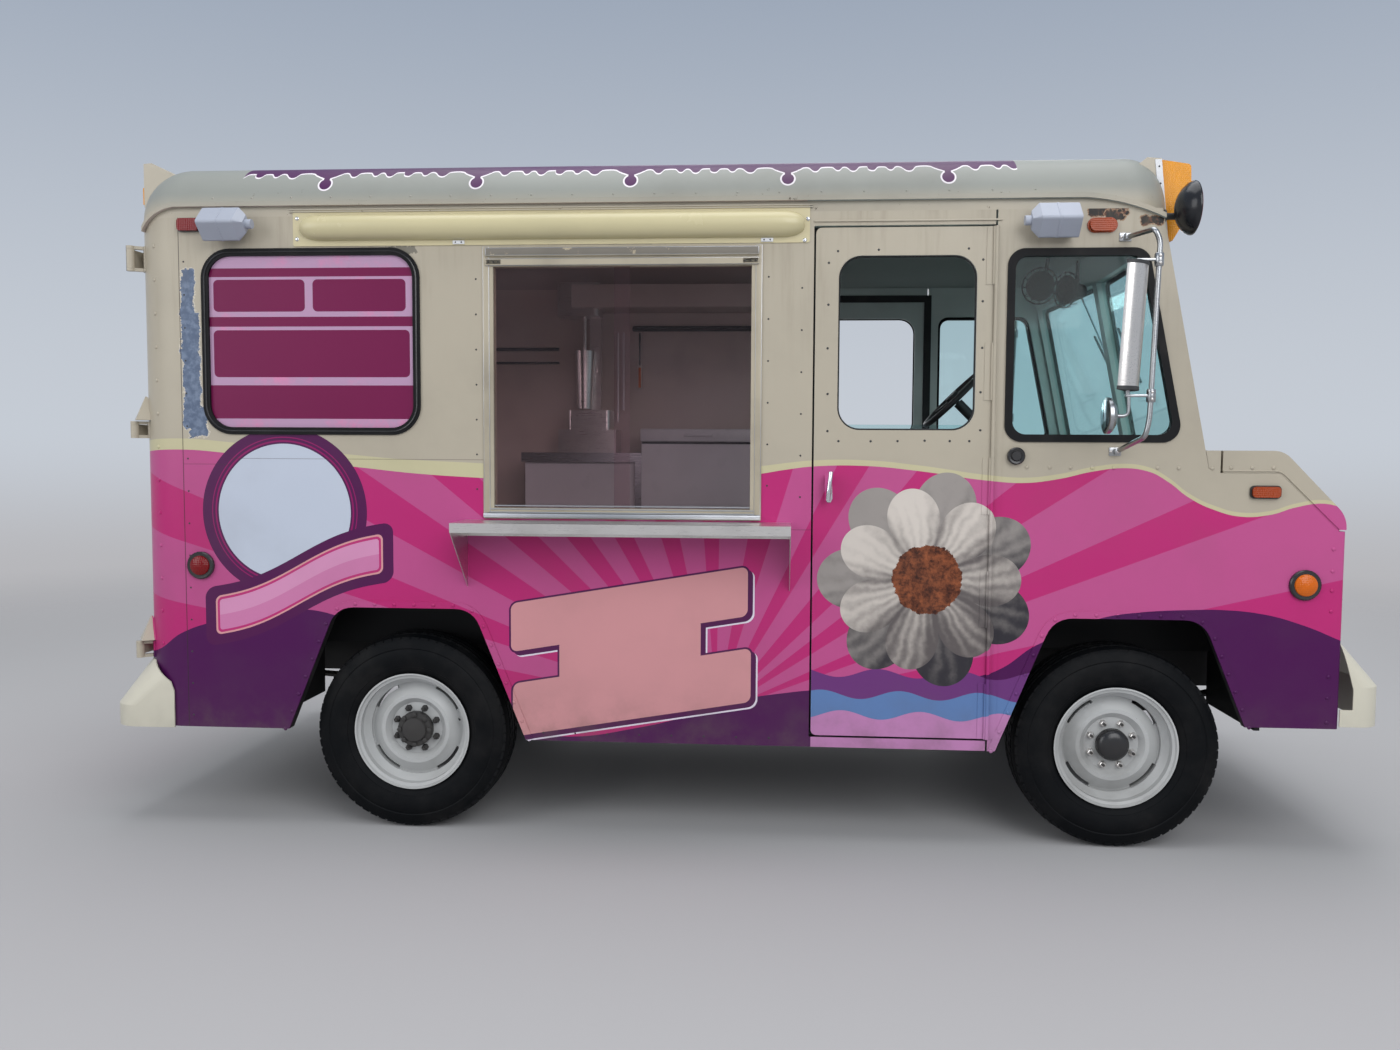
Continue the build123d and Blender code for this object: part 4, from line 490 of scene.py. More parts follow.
def body_skin():
    """Cream, pale band, two-pink rays and purple on the outside, plain linings inside."""
    c = colours()
    material, s = new_material("body_livery")
    p = s.point()
    x, y, z = s.split(p)
    ay = s.math("ABSOLUTE", y)
    flat = s.join(x, 0.0, z)
    wave = s.curve(x, WAVE, 0.2, 1.6)
    lower = s.curve(x, LOWER, 0.2, 1.6)
    band = s.curve(x, BAND, 0.0, 0.1)
    angle = s.math("ARCTAN2", s.minus(z, RAY_CENTRE[1]), s.minus(x, RAY_CENTRE[0]))
    share = s.math("DIVIDE", angle, math.pi, clamp=True)
    ramp = s.add("ShaderNodeValToRGB", {0: share})
    ramp.color_ramp.interpolation = "CONSTANT"
    stops = ramp.color_ramp.elements
    for i, edge in enumerate(RAY_EDGES):
        stops.new(edge / 180).color = (1, 1, 1, 1) if i % 2 == 0 else (0, 0, 0, 1)
    for end in (0, -1):
        stops[end].color = (0, 0, 0, 1)
    # the two pinks are painted a little darker towards the rear: painted shade
    fade = s.smooth(x, -2.2, 2.2)
    light = s.mix(fade, dimmed(c.pink, 0.93), rgba(c.pink))
    deep = s.mix(fade, dimmed(c.deep_pink, 0.93), rgba(c.deep_pink))
    rays = s.mix(ramp.outputs[0], deep, light)
    cream = rgba(c.cream)
    colour = s.mix(s.less(z, s.plus(wave, band)), cream, rgba(c.band))
    colour = s.mix(s.less(z, wave), colour, rays)
    colour = s.mix(s.less(z, lower), colour, rgba(c.purple))
    right = s.less(y, 0.0)
    drawn = draw_bloom(s, colour, flat)
    drawn = draw_sign(s, drawn, flat, c)
    drawn = draw_round_sign(s, drawn, flat, c)
    colour = s.mix(right, colour, drawn)
    colour = draw_wear(s, colour, p, right)
    # thin joints between the outer sheets
    for low, high, level in ((-2.029, -1.849, 1.386), (-1.849, -0.87, 1.408), (0.16, 0.333, 1.161)):
        line = s.both(s.span(x, low, high), s.span(z, level - 0.0012, level + 0.0012))
        colour = s.mix(s.times(line, 0.5), colour, (0.05, 0.03, 0.04, 1))
    seam = s.span(x, -2.0318, -2.0285)
    colour = s.mix(s.times(seam, 0.75), colour, (0.03, 0.02, 0.02, 1))
    # streaks below the gutter and grime near the ground
    streak = s.noise(p, 3.0, 5.0, 0.6, (9.0, 9.0, 0.7))
    high = s.smooth(z, 1.6, 2.3)
    colour = s.mix(s.times(s.times(s.smooth(streak, 0.45, 0.8), high), 0.30), colour,
                   opaque(112, 100, 80))
    splash = s.times(s.smooth(z, 0.62, 0.36), s.smooth(s.noise(p, 9.0, 6.0, 0.65), 0.35, 0.75))
    colour = s.mix(s.times(splash, 0.35), colour, opaque(96, 84, 78))
    colour = aged(s, p, colour, 0.12)
    # outside skin, by the body's rounded plan and the sloping screen
    back = s.math("MAXIMUM", s.minus(REAR_X + CORNER, x), 0.0)
    across = s.math("MAXIMUM", s.minus(ay, SIDE - CORNER), 0.0)
    reach = s.vector("LENGTH", s.join(back, across, 0.0))
    skin = s.more(reach, CORNER - 0.0015)
    # what stands proud at the rear end stays cream, and the hinges high up are grey
    colour = s.mix(s.both(s.more(reach, CORNER + 0.0065), s.less(x, -2.10)), colour, cream)
    colour = s.mix(s.both(s.less(x, -2.262), s.more(z, 2.05)), colour, opaque(66, 68, 74))
    lean = s.plus(s.plus(x, s.times(z, PILLAR_SLOPE)), s.times(ay, SCREEN_VEE / SIDE))
    ahead = s.more(lean, PILLAR_X + SCREEN_VEE + PILLAR_SLOPE * PILLAR_Z - 0.003)
    outside = s.either(skin, ahead)
    lining = s.mix(s.more(x, CAB_START), rgba(c.kitchen), rgba(c.cab_inside))
    well = s.both(s.less(z, 0.89), s.either(s.span(x, -1.75, -0.62), s.span(x, 0.93, 1.97)))
    lining = s.mix(s.either(well, s.less(z, 0.50)), lining, (0.012, 0.012, 0.013, 1))
    colour = s.mix(outside, aged(s, p, lining, 0.2), colour)
    grain = s.noise(p, 300.0, 2.0)
    ripple = s.noise(p, 2.4, 2.0, 0.5, (1.0, 1.0, 1.6))
    normal = s.bump(grain, 0.06, 0.0004, s.bump(ripple, 0.5, 0.005))
    roughness = s.plus(s.times(s.noise(p, 7.0, 4.0), 0.18), 0.24)
    surface(s, Base_Color=colour, Roughness=roughness, Normal=normal, Specular_IOR_Level=0.22)
    MATERIALS["body"] = material


# Lower edge of the roof's drips over one pitch, with the long drop in the middle
DRIPS = ((0.0, 0.078), (0.020, 0.058), (0.042, 0.076), (0.062, 0.076), (0.084, 0.060), (0.108, 0.077),
         (0.150, 0.054), (0.178, 0.076), (0.214, 0.078), (0.240, 0.066), (0.262, 0.056), (0.285, 0.050),
         (0.308, 0.056), (0.330, 0.068), (0.352, 0.077), (0.384, 0.056), (0.408, 0.076), (0.442, 0.077),
         (0.466, 0.060), (0.488, 0.077), (0.520, 0.056), (0.546, 0.077), (0.570, 0.078))
DRIP_PITCH = 0.570
DRIP_START = -1.480
DRIP_Z = 2.400
DROP_Z = 2.424


def roof_skin():
    """Pale roof with a strip of purple drips along both edges."""
    c = colours()
    material, s = new_material("roof_livery")
    p = s.point()
    x, y, z = s.split(p)
    ay = s.math("ABSOLUTE", y)
    phase = s.math("MODULO", s.plus(x, 10.5 * DRIP_PITCH - DRIP_START), DRIP_PITCH)
    side = s.minus(phase, DRIP_PITCH / 2)
    edge = s.plus(s.curve(phase, DRIPS, 0.0, 0.1), DRIP_Z)
    away = s.math("ABSOLUTE", side)
    bulb = s.vector("LENGTH", s.join(side, 0.0, s.minus(z, DROP_Z)))
    where = s.both(s.span(x, -1.805, 1.045), s.more(ay, 0.72))
    colour = s.mix(s.smooth(z, 2.40, 2.30), rgba(c.roof), rgba(c.cream))
    for grow, tone in ((0.006, opaque(226, 220, 226)), (0.0, rgba(c.purple))):
        drop = s.either(s.less(bulb, 0.022 + grow), s.both(s.less(away, 0.011 + grow), s.more(z, DROP_Z)))
        shape = s.either(drop, s.more(z, s.minus(edge, grow)))
        colour = s.mix(s.both(where, shape), colour, tone)
    chips = s.noise(p, 34.0, 6.0, 0.75)
    low = s.smooth(z, 2.42, 2.33)
    colour = s.mix(s.both(s.more(chips, 0.66), low), colour, opaque(70, 58, 46))
    colour = aged(s, p, colour, 0.30, srgb(96, 92, 84), 1.4)
    normal_in = s.add("ShaderNodeNewGeometry").outputs["Normal"]
    outward = s.vector("DOT_PRODUCT", normal_in, s.vector("SUBTRACT", p, (0.0, 0.0, 2.20)))
    # inside, the ceiling takes the wall linings darkened: painted shade
    lining = s.mix(s.more(x, CAB_START), dimmed(c.kitchen, 0.8), dimmed(c.cab_inside, 0.7))
    colour = s.mix(s.more(outward, 0.0), lining, colour)
    normal = s.bump(s.noise(p, 280.0, 2.0), 0.08, 0.0004, s.bump(s.noise(p, 2.0, 2.0), 0.5, 0.006))
    roughness = s.plus(s.times(s.noise(p, 6.0, 4.0), 0.2), 0.34)
    surface(s, Base_Color=colour, Roughness=roughness, Normal=normal, Specular_IOR_Level=0.35)
    MATERIALS["roof"] = material


def menu_face():
    """The blank menu board: dark boxes and bars on a veined ground."""
    c = colours()
    material, s = new_material("menu_face")
    p = s.point()
    x, _, z = s.split(p)
    flat = s.join(x, 0.0, z)
    vein = s.noise(flat, 5.0, 8.0, 0.72)
    colour = s.mix(s.smooth(vein, 0.5, 0.72), rgba(c.marble), opaque(206, 128, 168))
    dark = s.mix(s.times(s.noise(flat, 3.0), 0.4), rgba(c.board), dimmed(c.board, 0.7))
    bars = (((-1.641, 0, 2.097), (0.6, 1, 0.016), 0.002), ((-1.726, 0, 2.012), (0.175, 1, 0.059), 0.018),
            ((-1.345, 0, 2.012), (0.176, 1, 0.059), 0.018), ((-1.641, 0, 1.916), (0.6, 1, 0.018), 0.002),
            ((-1.529, 0, 1.798), (0.374, 1, 0.087), 0.018), ((-1.641, 0, 1.619), (0.6, 1, 0.062), 0.002))
    for centre, half, radius in bars:
        colour = s.mix(s.less(s.box_distance(flat, centre, half, radius), 0.0), colour, dark)
    surface(s, Base_Color=colour, Roughness=0.42, Specular_IOR_Level=0.25,
            Normal=s.bump(s.noise(p, 3.0), 0.2, 0.002))
    MATERIALS["menu"] = material


def glass():
    """Clear panes: a tint seen straight through and a reflection that grows at a slant."""
    material, s = new_material("window_glass")
    p = s.point()
    x = s.split(p)[0]
    haze = s.smooth(s.noise(p, 2.6, 5.0, 0.6), 0.35, 0.8)
    tint = s.mix(s.more(x, CAB_START), opaque(247, 238, 240), opaque(234, 247, 247))
    clear = s.add("ShaderNodeBsdfTransparent", {"Color": tint})
    dust = s.add("ShaderNodeBsdfDiffuse", {"Color": opaque(168, 160, 170)})
    film = s.plus(s.times(haze, 0.022), 0.006)
    body = s.add("ShaderNodeMixShader", {0: film, 1: clear.outputs[0], 2: dust.outputs[0]})
    gloss = s.add("ShaderNodeBsdfGlossy", {"Color": (1, 1, 1, 1), "Roughness": 0.02})
    slant = s.add("ShaderNodeLayerWeight", {"Blend": 0.5}).outputs[1]
    rim = s.plus(s.times(s.math("POWER", slant, 5.0), 0.55), 0.006)
    mixed = s.add("ShaderNodeMixShader", {0: rim, 1: body.outputs[0], 2: gloss.outputs[0]})
    s.add("ShaderNodeOutputMaterial", {0: mixed.outputs[0]})
    MATERIALS["glass"] = material


def tyre_rubber():
    """Near-black tyre rubber with patches of dust."""
    material, s = new_material("tyre_rubber")
    p = s.point()
    dust = s.smooth(s.noise(p, 5.0, 6.0, 0.65), 0.4, 0.85)
    base = s.mix(s.times(dust, 0.16), opaque(3, 5, 8), opaque(76, 72, 70))
    fine = s.noise(p, 340.0, 2.0)
    surface(s, Base_Color=base, Roughness=0.62, Specular_IOR_Level=0.15, Normal=s.bump(fine, 0.25, 0.0006))
    MATERIALS["tyre"] = material


def make_materials():
    c = colours()
    body_skin()
    roof_skin()
    menu_face()
    glass()
    tyre_rubber()
    paint("cream", c.cream, 0.36)
    paint("awning", c.awning, 0.24, 0.10)
    bumper_paint()
    paint("wheel", c.wheel, 0.36, 0.30, 0.27, (0.10, 0.07, 0.05))
    paint("chassis", (0.020, 0.020, 0.021), 0.55, 0.35)
    floor_paint()
    paint("lining", c.kitchen, 0.45, 0.15)
    paint("hatch_frame", srgb(172, 163, 144), 0.4, 0.45, 0.32, srgb(112, 104, 92))
    paint("tarnish", srgb(118, 113, 104), 0.5, 0.5, 0.4, srgb(176, 164, 140))
    paint("awning_plate", srgb(198, 188, 152), 0.4, 0.2)
    paint("enamel", srgb(214, 216, 220), 0.3, 0.12)
    paint("black_house", (0.012, 0.013, 0.016), 0.22, 0.10)
    paint("iron", (0.09, 0.10, 0.11), 0.6, 0.4)
    metal("steel", srgb(222, 218, 214), 0.27)
    metal("satin", srgb(172, 174, 176), 0.26)
    metal("mirror_glass", srgb(214, 222, 228), 0.09, wear=0.05)
    metal("aluminium", srgb(176, 178, 182), 0.36)
    metal("chrome", srgb(214, 216, 220), 0.12, wear=0.12)
    metal("rusty", srgb(110, 84, 66), 0.6)
    plastic("speaker_white", srgb(162, 168, 182), 0.4)
    plastic("dark_plastic", srgb(40, 42, 44), 0.55, 0.15)
    plastic("black_gloss", (0.008, 0.008, 0.010), 0.25)
    rubber("rubber", dust=0.05)
    rubber("seal", (0.03, 0.03, 0.032), 0.6)
    lens("amber", srgb(160, 60, 4))
    lens("orange", srgb(216, 104, 8))
    lens("red", srgb(120, 4, 12))
    lens("clear", srgb(214, 220, 224), 0.06)
    lens("sign_yellow", srgb(228, 150, 10), 0.25)
    vinyl_cloth()


def two_tone(name, colour, dark, hidden, rough):
    """Enamel that changes to a dark undercoat where a mask says so."""
    material, s = new_material(name)
    p = s.point()
    x, y, z = s.split(p)
    undercoat = hidden(s, x, s.math("ABSOLUTE", y), z)
    base = s.mix(undercoat, aged(s, p, rgba(colour), 0.24), rgba(dark))
    flakes = s.noise(p, 14.0, 8.0, 0.7)
    base = s.mix(s.more(flakes, 0.70), base, rgba((0.05, 0.045, 0.04)))
    normal = s.bump(s.noise(p, 260.0, 2.0), 0.10, 0.0004, s.bump(s.noise(p, 3.0, 1.0), 0.35, 0.004))
    surface(s, Base_Color=base, Roughness=rough, Normal=normal, Specular_IOR_Level=0.3)
    MATERIALS[name] = material


def bumper_paint():
    """Cream bumpers whose arms are black like the frame."""
    def arms(s, x, ay, z):
        return s.both(s.span(x, -2.25, 2.25), s.less(ay, 0.55))

    two_tone("bumper", colours().bumper, (0.018, 0.018, 0.019), arms, 0.42)


def floor_paint():
    """Grey floor and steps, with black undercoat below it and in the wheelhouses."""
    def below(s, x, ay, z):
        doorless = s.either(s.less(x, CAB_START), s.more(x, 0.98))
        wells = s.both(s.less(z, 0.90), s.more(ay, 0.45), doorless)
        return s.either(wells, s.both(s.less(z, 0.675), s.either(doorless, s.less(ay, 0.63))))

    two_tone("floor_grey", srgb(116, 118, 120), (0.010, 0.010, 0.011), below, 0.5)


def vinyl_cloth():
    material, s = new_material("seat_vinyl")
    p = s.point()
    grain = s.noise(p, 420.0, 4.0, 0.65)
    crease = s.noise(p, 24.0, 4.0, 0.6)
    base = s.mix(s.times(crease, 0.4), opaque(38, 38, 40), opaque(70, 68, 68))
    normal = s.bump(grain, 0.4, 0.0008, s.bump(crease, 0.3, 0.003))
    surface(s, Base_Color=base, Roughness=0.5, Normal=normal)
    MATERIALS["vinyl"] = material


# Shapes


def into_scene(obj):
    bpy.context.scene.collection.objects.link(obj)
    return obj


def baked(obj):
    """The plain mesh of an object after its modifiers."""
    bpy.context.view_layer.update()
    view = bpy.context.evaluated_depsgraph_get()
    return bpy.data.meshes.new_from_object(obj.evaluated_get(view), depsgraph=view)


def turns(count):
    """Angles at an even step round a circle."""
    return [2 * math.pi * i / count for i in range(count)]


def spoke(degrees):
    """The direction of an angle in a wheel's plane."""
    angle = math.radians(degrees)
    return Vector((math.cos(angle), 0, math.sin(angle)))


class Form:
    """Collects closed shapes for one piece. Each shape takes the material named in the list."""

    def __init__(self, *materials):
        self.bm = bmesh.new()
        self.materials = list(materials)

    def _mark(self, faces, material):
        index = self.materials.index(material) if material else 0
        for face in faces:
            face.material_index = index

    def add(self, rings, material=None, loop=False):
        """A skin through rings of points, closed at both ends or joined in a loop."""
        bm = self.bm
        rows = [[bm.verts.new(co) for co in ring] for ring in rings]
        faces = []
        count = len(rows[0])
        pairs = list(zip(rows, rows[1:])) + ([(rows[-1], rows[0])] if loop else [])
        for a, b in pairs:
            for i in range(count):
                j = (i + 1) % count
                faces.append(bm.faces.new((a[i], a[j], b[j], b[i])))
        if not loop:
            faces.append(bm.faces.new(list(reversed(rows[0]))))
            faces.append(bm.faces.new(rows[-1]))
        self._mark(faces, material)

    def box(self, x0, x1, y0, y1, z0, z1, material=None, bevel=0.0):
        made = bmesh.ops.create_cube(self.bm, size=1.0)["verts"]
        size = (abs(x1 - x0), abs(y1 - y0), abs(z1 - z0))
        centre = Vector(((x0 + x1) / 2, (y0 + y1) / 2, (z0 + z1) / 2))
        matrix = Matrix.Translation(centre) @ Matrix.Diagonal((*size, 1))
        bmesh.ops.transform(self.bm, matrix=matrix, verts=made)
        self._mark({f for v in made for f in v.link_faces}, material)
        if bevel:
            edges = {e for v in made for e in v.link_edges}
            bmesh.ops.bevel(self.bm, geom=list(edges), offset=bevel, segments=2, affect="EDGES", profile=0.5)

    def prism(self, outline, plane, low, high, material=None):
        """An outline given its thickness across the truck (xz) or along it (yz)."""
        at = {"xz": lambda a, b, d: (a, d, b), "yz": lambda a, b, d: (d, a, b)}[plane]
        self.add([[at(a, b, d) for a, b in outline] for d in (low, high)], material)

    def lathe(self, profile, origin, axis, sides=32, material=None, loop=False):
        """A profile of (distance along the axis, radius) turned about it."""
        direction = Vector(axis).normalized()
        turn = direction.to_track_quat("Z", "Y").to_matrix()
        rings = []
        for reach, radius in profile:
            ring = [Vector((radius * math.cos(a), radius * math.sin(a), reach)) for a in turns(sides)]
            rings.append([Vector(origin) + turn @ local for local in ring])
        self.add(rings, material, loop)

    def rod(self, start, end, radius, sides=14, material=None):
        run = Vector(end) - Vector(start)
        edge = min(radius * 0.25, run.length * 0.2)
        near, far = radius - edge, run.length - edge
        profile = [(0, near), (edge, radius), (far, radius), (run.length, near)]
        self.lathe(profile, start, run, sides, material)

    def tube(self, points, radius, sides=12, material=None, closed=False, flat=1.0, up=(0, 1, 0)):
        """A round or flattened bar along a bent path."""
        path = [Vector(p) for p in points]
        count = len(path)
        rings = []
        for i, here in enumerate(path):
            before = path[(i - 1) % count] if closed or i else here
            after = path[(i + 1) % count] if closed or i < count - 1 else here
            run = (after - before).normalized()
            side = run.cross(Vector(up))
            if side.length < 1e-4:
                side = run.cross(Vector((1, 0, 0)))
            side.normalize()
            over = side.cross(run).normalized()
            rings.append([here + side * math.cos(a) * radius + over * math.sin(a) * radius * flat
                          for a in turns(sides)])
        self.add(rings, material, closed)

    def mirrored(self):
        """Adds the same shapes on the other side of the truck."""
        everything = self.bm.verts[:] + self.bm.edges[:] + self.bm.faces[:]
        copy = bmesh.ops.duplicate(self.bm, geom=everything)["geom"]
        verts = [g for g in copy if isinstance(g, bmesh.types.BMVert)]
        faces = [g for g in copy if isinstance(g, bmesh.types.BMFace)]
        for vert in verts:
            vert.co.y = -vert.co.y
        bmesh.ops.reverse_faces(self.bm, faces=faces)

    def piece(self, name, body="truck", replaces=(), angle=35.0):
        """Makes the collected shapes one object that moves with a body."""
        bmesh.ops.recalc_face_normals(self.bm, faces=self.bm.faces[:])
        mesh = bpy.data.meshes.new(name)
        self.bm.to_mesh(mesh)
        self.bm.free()
        mesh.shade_smooth()
        mesh.set_sharp_from_angle(angle=math.radians(angle))
        for material in self.materials:
            mesh.materials.append(MATERIALS[material])
        return settle(mesh, name, body, replaces)


def settle(mesh, name, body, replaces=()):
    obj = into_scene(bpy.data.objects.new(name, mesh))
    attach(obj, body)
    if replaces:
        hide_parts(*replaces)
    return obj


def rounded_outline(x0, x1, z0, z1, radius, steps):
    """A rectangle with rounded corners, as points anticlockwise from its right side."""
    out = []
    for cx, cz, start in ((x1 - radius, z1 - radius, 0), (x0 + radius, z1 - radius, 90),
                          (x0 + radius, z0 + radius, 180), (x1 - radius, z0 + radius, 270)):
        for i in range(steps + 1):
            a = math.radians(start + 90 * i / steps)
            out.append((cx + radius * math.cos(a), cz + radius * math.sin(a)))
    return out


def bent(points, radius, steps=5):
    """A path whose corners are rounded."""
    path = [Vector(p) for p in points]
    out = [path[0]]
    for before, here, after in zip(path, path[1:], path[2:]):
        a = (before - here).normalized()
        b = (after - here).normalized()
        reach = min(radius, (before - here).length * 0.45, (after - here).length * 0.45)
        start, end = here + a * reach, here + b * reach
        for i in range(steps + 1):
            t = i / steps
            out.append(start * (1 - t) ** 2 + here * 2 * t * (1 - t) + end * t ** 2)
    out.append(path[-1])
    return out


# Geometry node trees for what repeats


def node_tree(name, inputs):
    """A geometry node tree, its sheet and the outputs of its input node."""
    tree = bpy.data.node_groups.new(name, "GeometryNodeTree")
    for label, kind in inputs:
        tree.interface.new_socket(name=label, in_out="INPUT", socket_type="NodeSocket" + kind)
    tree.interface.new_socket(name="Shapes", in_out="OUTPUT", socket_type="NodeSocketGeometry")
    s = Sheet(tree)
    return tree, s, s.add("NodeGroupInput").outputs


def send_out(s, instances, finish):
    """Makes instances real, paints them and sends them out of the tree."""
    real = s.add("GeometryNodeRealizeInstances", {0: instances})
    painted = s.add("GeometryNodeSetMaterial", {"Geometry": real.outputs[0], "Material": finish})
    s.add("NodeGroupOutput", {0: painted.outputs[0]})


def heads_tree():
    """Domed heads on points: rivets and screws."""
    tree, s, given = node_tree("Heads on points", (("Points", "Geometry"), ("Radius", "Float"),
                                                   ("Rise", "Float"), ("Finish", "Material")))
    ball = s.add("GeometryNodeMeshUVSphere", {"Segments": 10, "Rings": 6, "Radius": 1.0})
    facing = s.add("GeometryNodeInputNamedAttribute", {"Name": "facing"}, data_type="FLOAT_VECTOR")
    turn = s.add("FunctionNodeAlignRotationToVector", {"Vector": facing.outputs[0]}, axis="Z")
    scale = s.join(given["Radius"], given["Radius"], given["Rise"])
    domes = s.add("GeometryNodeInstanceOnPoints", {"Points": given["Points"], "Instance": ball.outputs[0],
                                                   "Rotation": turn.outputs[0], "Scale": scale})
    send_out(s, domes.outputs[0], given["Finish"])
    return tree


def lugs_tree():
    """Blocks round a circle about the truck's cross axis: tyre tread."""
    tree, s, given = node_tree("Blocks round an axle", (
        ("Seed", "Geometry"), ("Count", "Int"), ("Radius", "Float"), ("Block", "Vector"), ("Skew", "Float"),
        ("Phase", "Float"), ("Centre", "Vector"), ("Finish", "Material")))
    circle = s.add("GeometryNodeMeshCircle", {"Vertices": given["Count"], "Radius": given["Radius"]})
    spun = s.add("GeometryNodeTransform", {"Geometry": circle.outputs[0],
                                           "Rotation": s.join(0.0, 0.0, given["Phase"])})
    upright = s.add("GeometryNodeTransform", {"Geometry": spun.outputs[0], "Rotation": (math.pi / 2, 0, 0)})
    place = s.add("GeometryNodeInputPosition")
    turn = s.add("FunctionNodeAlignRotationToVector", {"Vector": place.outputs[0]}, axis="Z")
    cross = s.add("FunctionNodeAlignRotationToVector", {"Rotation": turn.outputs[0], "Vector": (0, 1, 0)},
                  axis="Y", pivot_axis="Z")
    skewed = s.add("FunctionNodeRotateRotation", {0: cross.outputs[0], 1: s.join(0.0, 0.0, given["Skew"])},
                   rotation_space="LOCAL")
    cube = s.add("GeometryNodeMeshCube", {"Size": given["Block"]})
    blocks = s.add("GeometryNodeInstanceOnPoints", {"Points": upright.outputs[0], "Instance": cube.outputs[0],
                                                    "Rotation": skewed.outputs[0]})
    moved = s.add("GeometryNodeTransform", {"Geometry": blocks.outputs[0], "Translation": given["Centre"]})
    send_out(s, moved.outputs[0], given["Finish"])
    return tree


def grown(tree, mesh, inputs):
    """The plain mesh that a geometry node tree makes from a mesh."""
    holder = into_scene(bpy.data.objects.new("holder", mesh))
    modifier = holder.modifiers.new("grow", "NODES")
    modifier.node_group = tree
    keys = {item.name: item.identifier for item in tree.interface.items_tree if item.in_out == "INPUT"}
    for name, value in inputs.items():
        modifier[keys[name]] = value
    result = baked(holder)
    bpy.data.objects.remove(holder)
    return result


def heads(name, spots, radius, rise, material, body="truck"):
    """Rivet or screw heads at (place, facing) spots."""
    mesh = bpy.data.meshes.new(name)
    mesh.from_pydata([s[0] for s in spots], [], [])
    facing = mesh.attributes.new("facing", "FLOAT_VECTOR", "POINT")
    for i, spot in enumerate(spots):
        facing.data[i].vector = spot[1]
    tree = bpy.data.node_groups.get("Heads on points") or heads_tree()
    result = grown(tree, mesh, {"Radius": radius, "Rise": rise, "Finish": MATERIALS[material]})
    result.name = name
    result.shade_smooth()
    return settle(result, name, body)


def along(points, pitch):
    """Places at an even pitch along a path."""
    out = []
    for a, b in zip(points, points[1:]):
        a, b = Vector(a), Vector(b)
        count = max(1, round((b - a).length / pitch))
        out += [a.lerp(b, i / count) for i in range(count)]
    out.append(Vector(points[-1]))
    return out


def on_sides(pairs, y=SIDE, sides=(-1, 1)):
    """Side spots, facing outwards, from (x, z) pairs."""
    return [((x, side * y, z), (0, side, 0)) for side in sides for x, z in pairs]


# Pieces


def arch_path(axle, shift, reach):
    """The wheel arch's outline from its rear foot to its front foot, widened by reach."""
    slope = (0.456 - 0.261) / (0.852 - 0.370)
    centre = axle + shift
    rear_foot, front_foot = (0.385, 0.365) if axle < 0 else (0.363, 0.471)
    top = 0.852 + reach
    half_top = 0.261 + reach * 0.7
    corners = [(centre - half_top - slope * (top - rear_foot), rear_foot, 0), (centre - half_top, top, 0),
               (centre + half_top, top, 0), (centre + half_top + slope * (top - front_foot), front_foot, 0)]
    return [(p.x, p.y) for p in bent(corners, 0.07 + reach, 6)]


def make_arch_flanges():
    z = sizes()
    spots = []
    for word, axle, shift in (("front", FRONT_AXLE, 0.014), ("rear", REAR_AXLE, -0.006)):
        inner = arch_path(axle, shift, 0.001)
        outer = arch_path(axle, shift, z.flange_width)
        for side, hand in HANDS:
            form = Form("body")
            low, high = side * (SIDE - 0.002), side * (SIDE + z.flange_rise)
            form.add([[(xi, low, zi), (xo, low, zo), (xo, high, zo), (xi, high, zi)]
                      for (xi, zi), (xo, zo) in zip(inner, outer)])
            form.piece(f"arch_flange_{word}_{hand}")
        middle = [((a[0] + b[0]) / 2, (a[1] + b[1]) / 2) for a, b in zip(inner, outer)]
        places = along([(a, 0, b) for a, b in middle], 0.072)
        dense = []
        for place in places:
            if not dense or (place - dense[-1]).length > 0.06:
                dense.append(place)
        spots += on_sides([(p.x, p.z) for p in dense], SIDE + z.flange_rise)
    heads("arch_rivets", spots, z.rivet_radius, z.rivet_rise, "body")


def make_body_rivets():
    z = sizes()
    belt = [(x, 1.393) for x in (1.090, 1.170, 1.243, 1.318, 1.394, 1.545, 1.618, 1.733)]
    hood = [(1.797 + 0.0725 * i, 1.396) for i in range(3)]
    nose = [(NOSE_X - 0.041, zz) for zz in (1.112, 1.034, 0.965, 0.892, 0.658, 0.581, 0.494)]
    seam = [(-2.012, 0.43 + 0.122 * i) for i in range(16)]
    floor_line = [(-0.66 + 0.12 * i, 0.392) for i in range(8)]
    heads("body_rivets", on_sides(belt + nose), z.rivet_radius, z.rivet_rise, "body")
    heads("hood_rivets", on_sides(hood), z.rivet_radius, z.rivet_rise, "body", "hood")
    panel = seam + floor_line + [(-0.905, 1.30 + 0.128 * i) for i in range(7)]
    panel += [(0.165, 1.32 + 0.15 * i) for i in range(6)] + [(0.285, 1.28 + 0.15 * i) for i in range(6)]
    heads("panel_screws", on_sides(panel), z.screw_radius * 0.8, 0.0012, "dark_plastic")
    front = [((NOSE_X, -0.90 + 0.12 * i, 1.158), (1, 0, 0)) for i in range(16)]
    heads("front_rivets", front, z.rivet_radius, z.rivet_rise, "body")
    # the rear corners' sheets, riveted along their curve
    turn = math.radians(62)
    place = (REAR_X + CORNER - CORNER * math.cos(turn), SIDE - CORNER + CORNER * math.sin(turn))
    rear = [((place[0], side * place[1], 0.70 + 0.125 * i), (-math.cos(turn), side * math.sin(turn), 0))
            for side in (-1, 1) for i in range(13)]
    heads("rear_rivets", rear, z.rivet_radius, z.rivet_rise, "body")
    # one row low on the roof's rolled edges
    level, roll_y, roll_z, roll = 2.372, 0.765, 2.305, 0.21
    y = roll_y + math.sqrt(roll ** 2 - (level - roll_z) ** 2)
    spots = [((-1.9 + 0.15 * i, side * y, level), (0, side * 0.95, 0.32))
             for i in range(21) for side in (-1, 1)]
    heads("roof_rivets", spots, 0.004, 0.002, "roof")


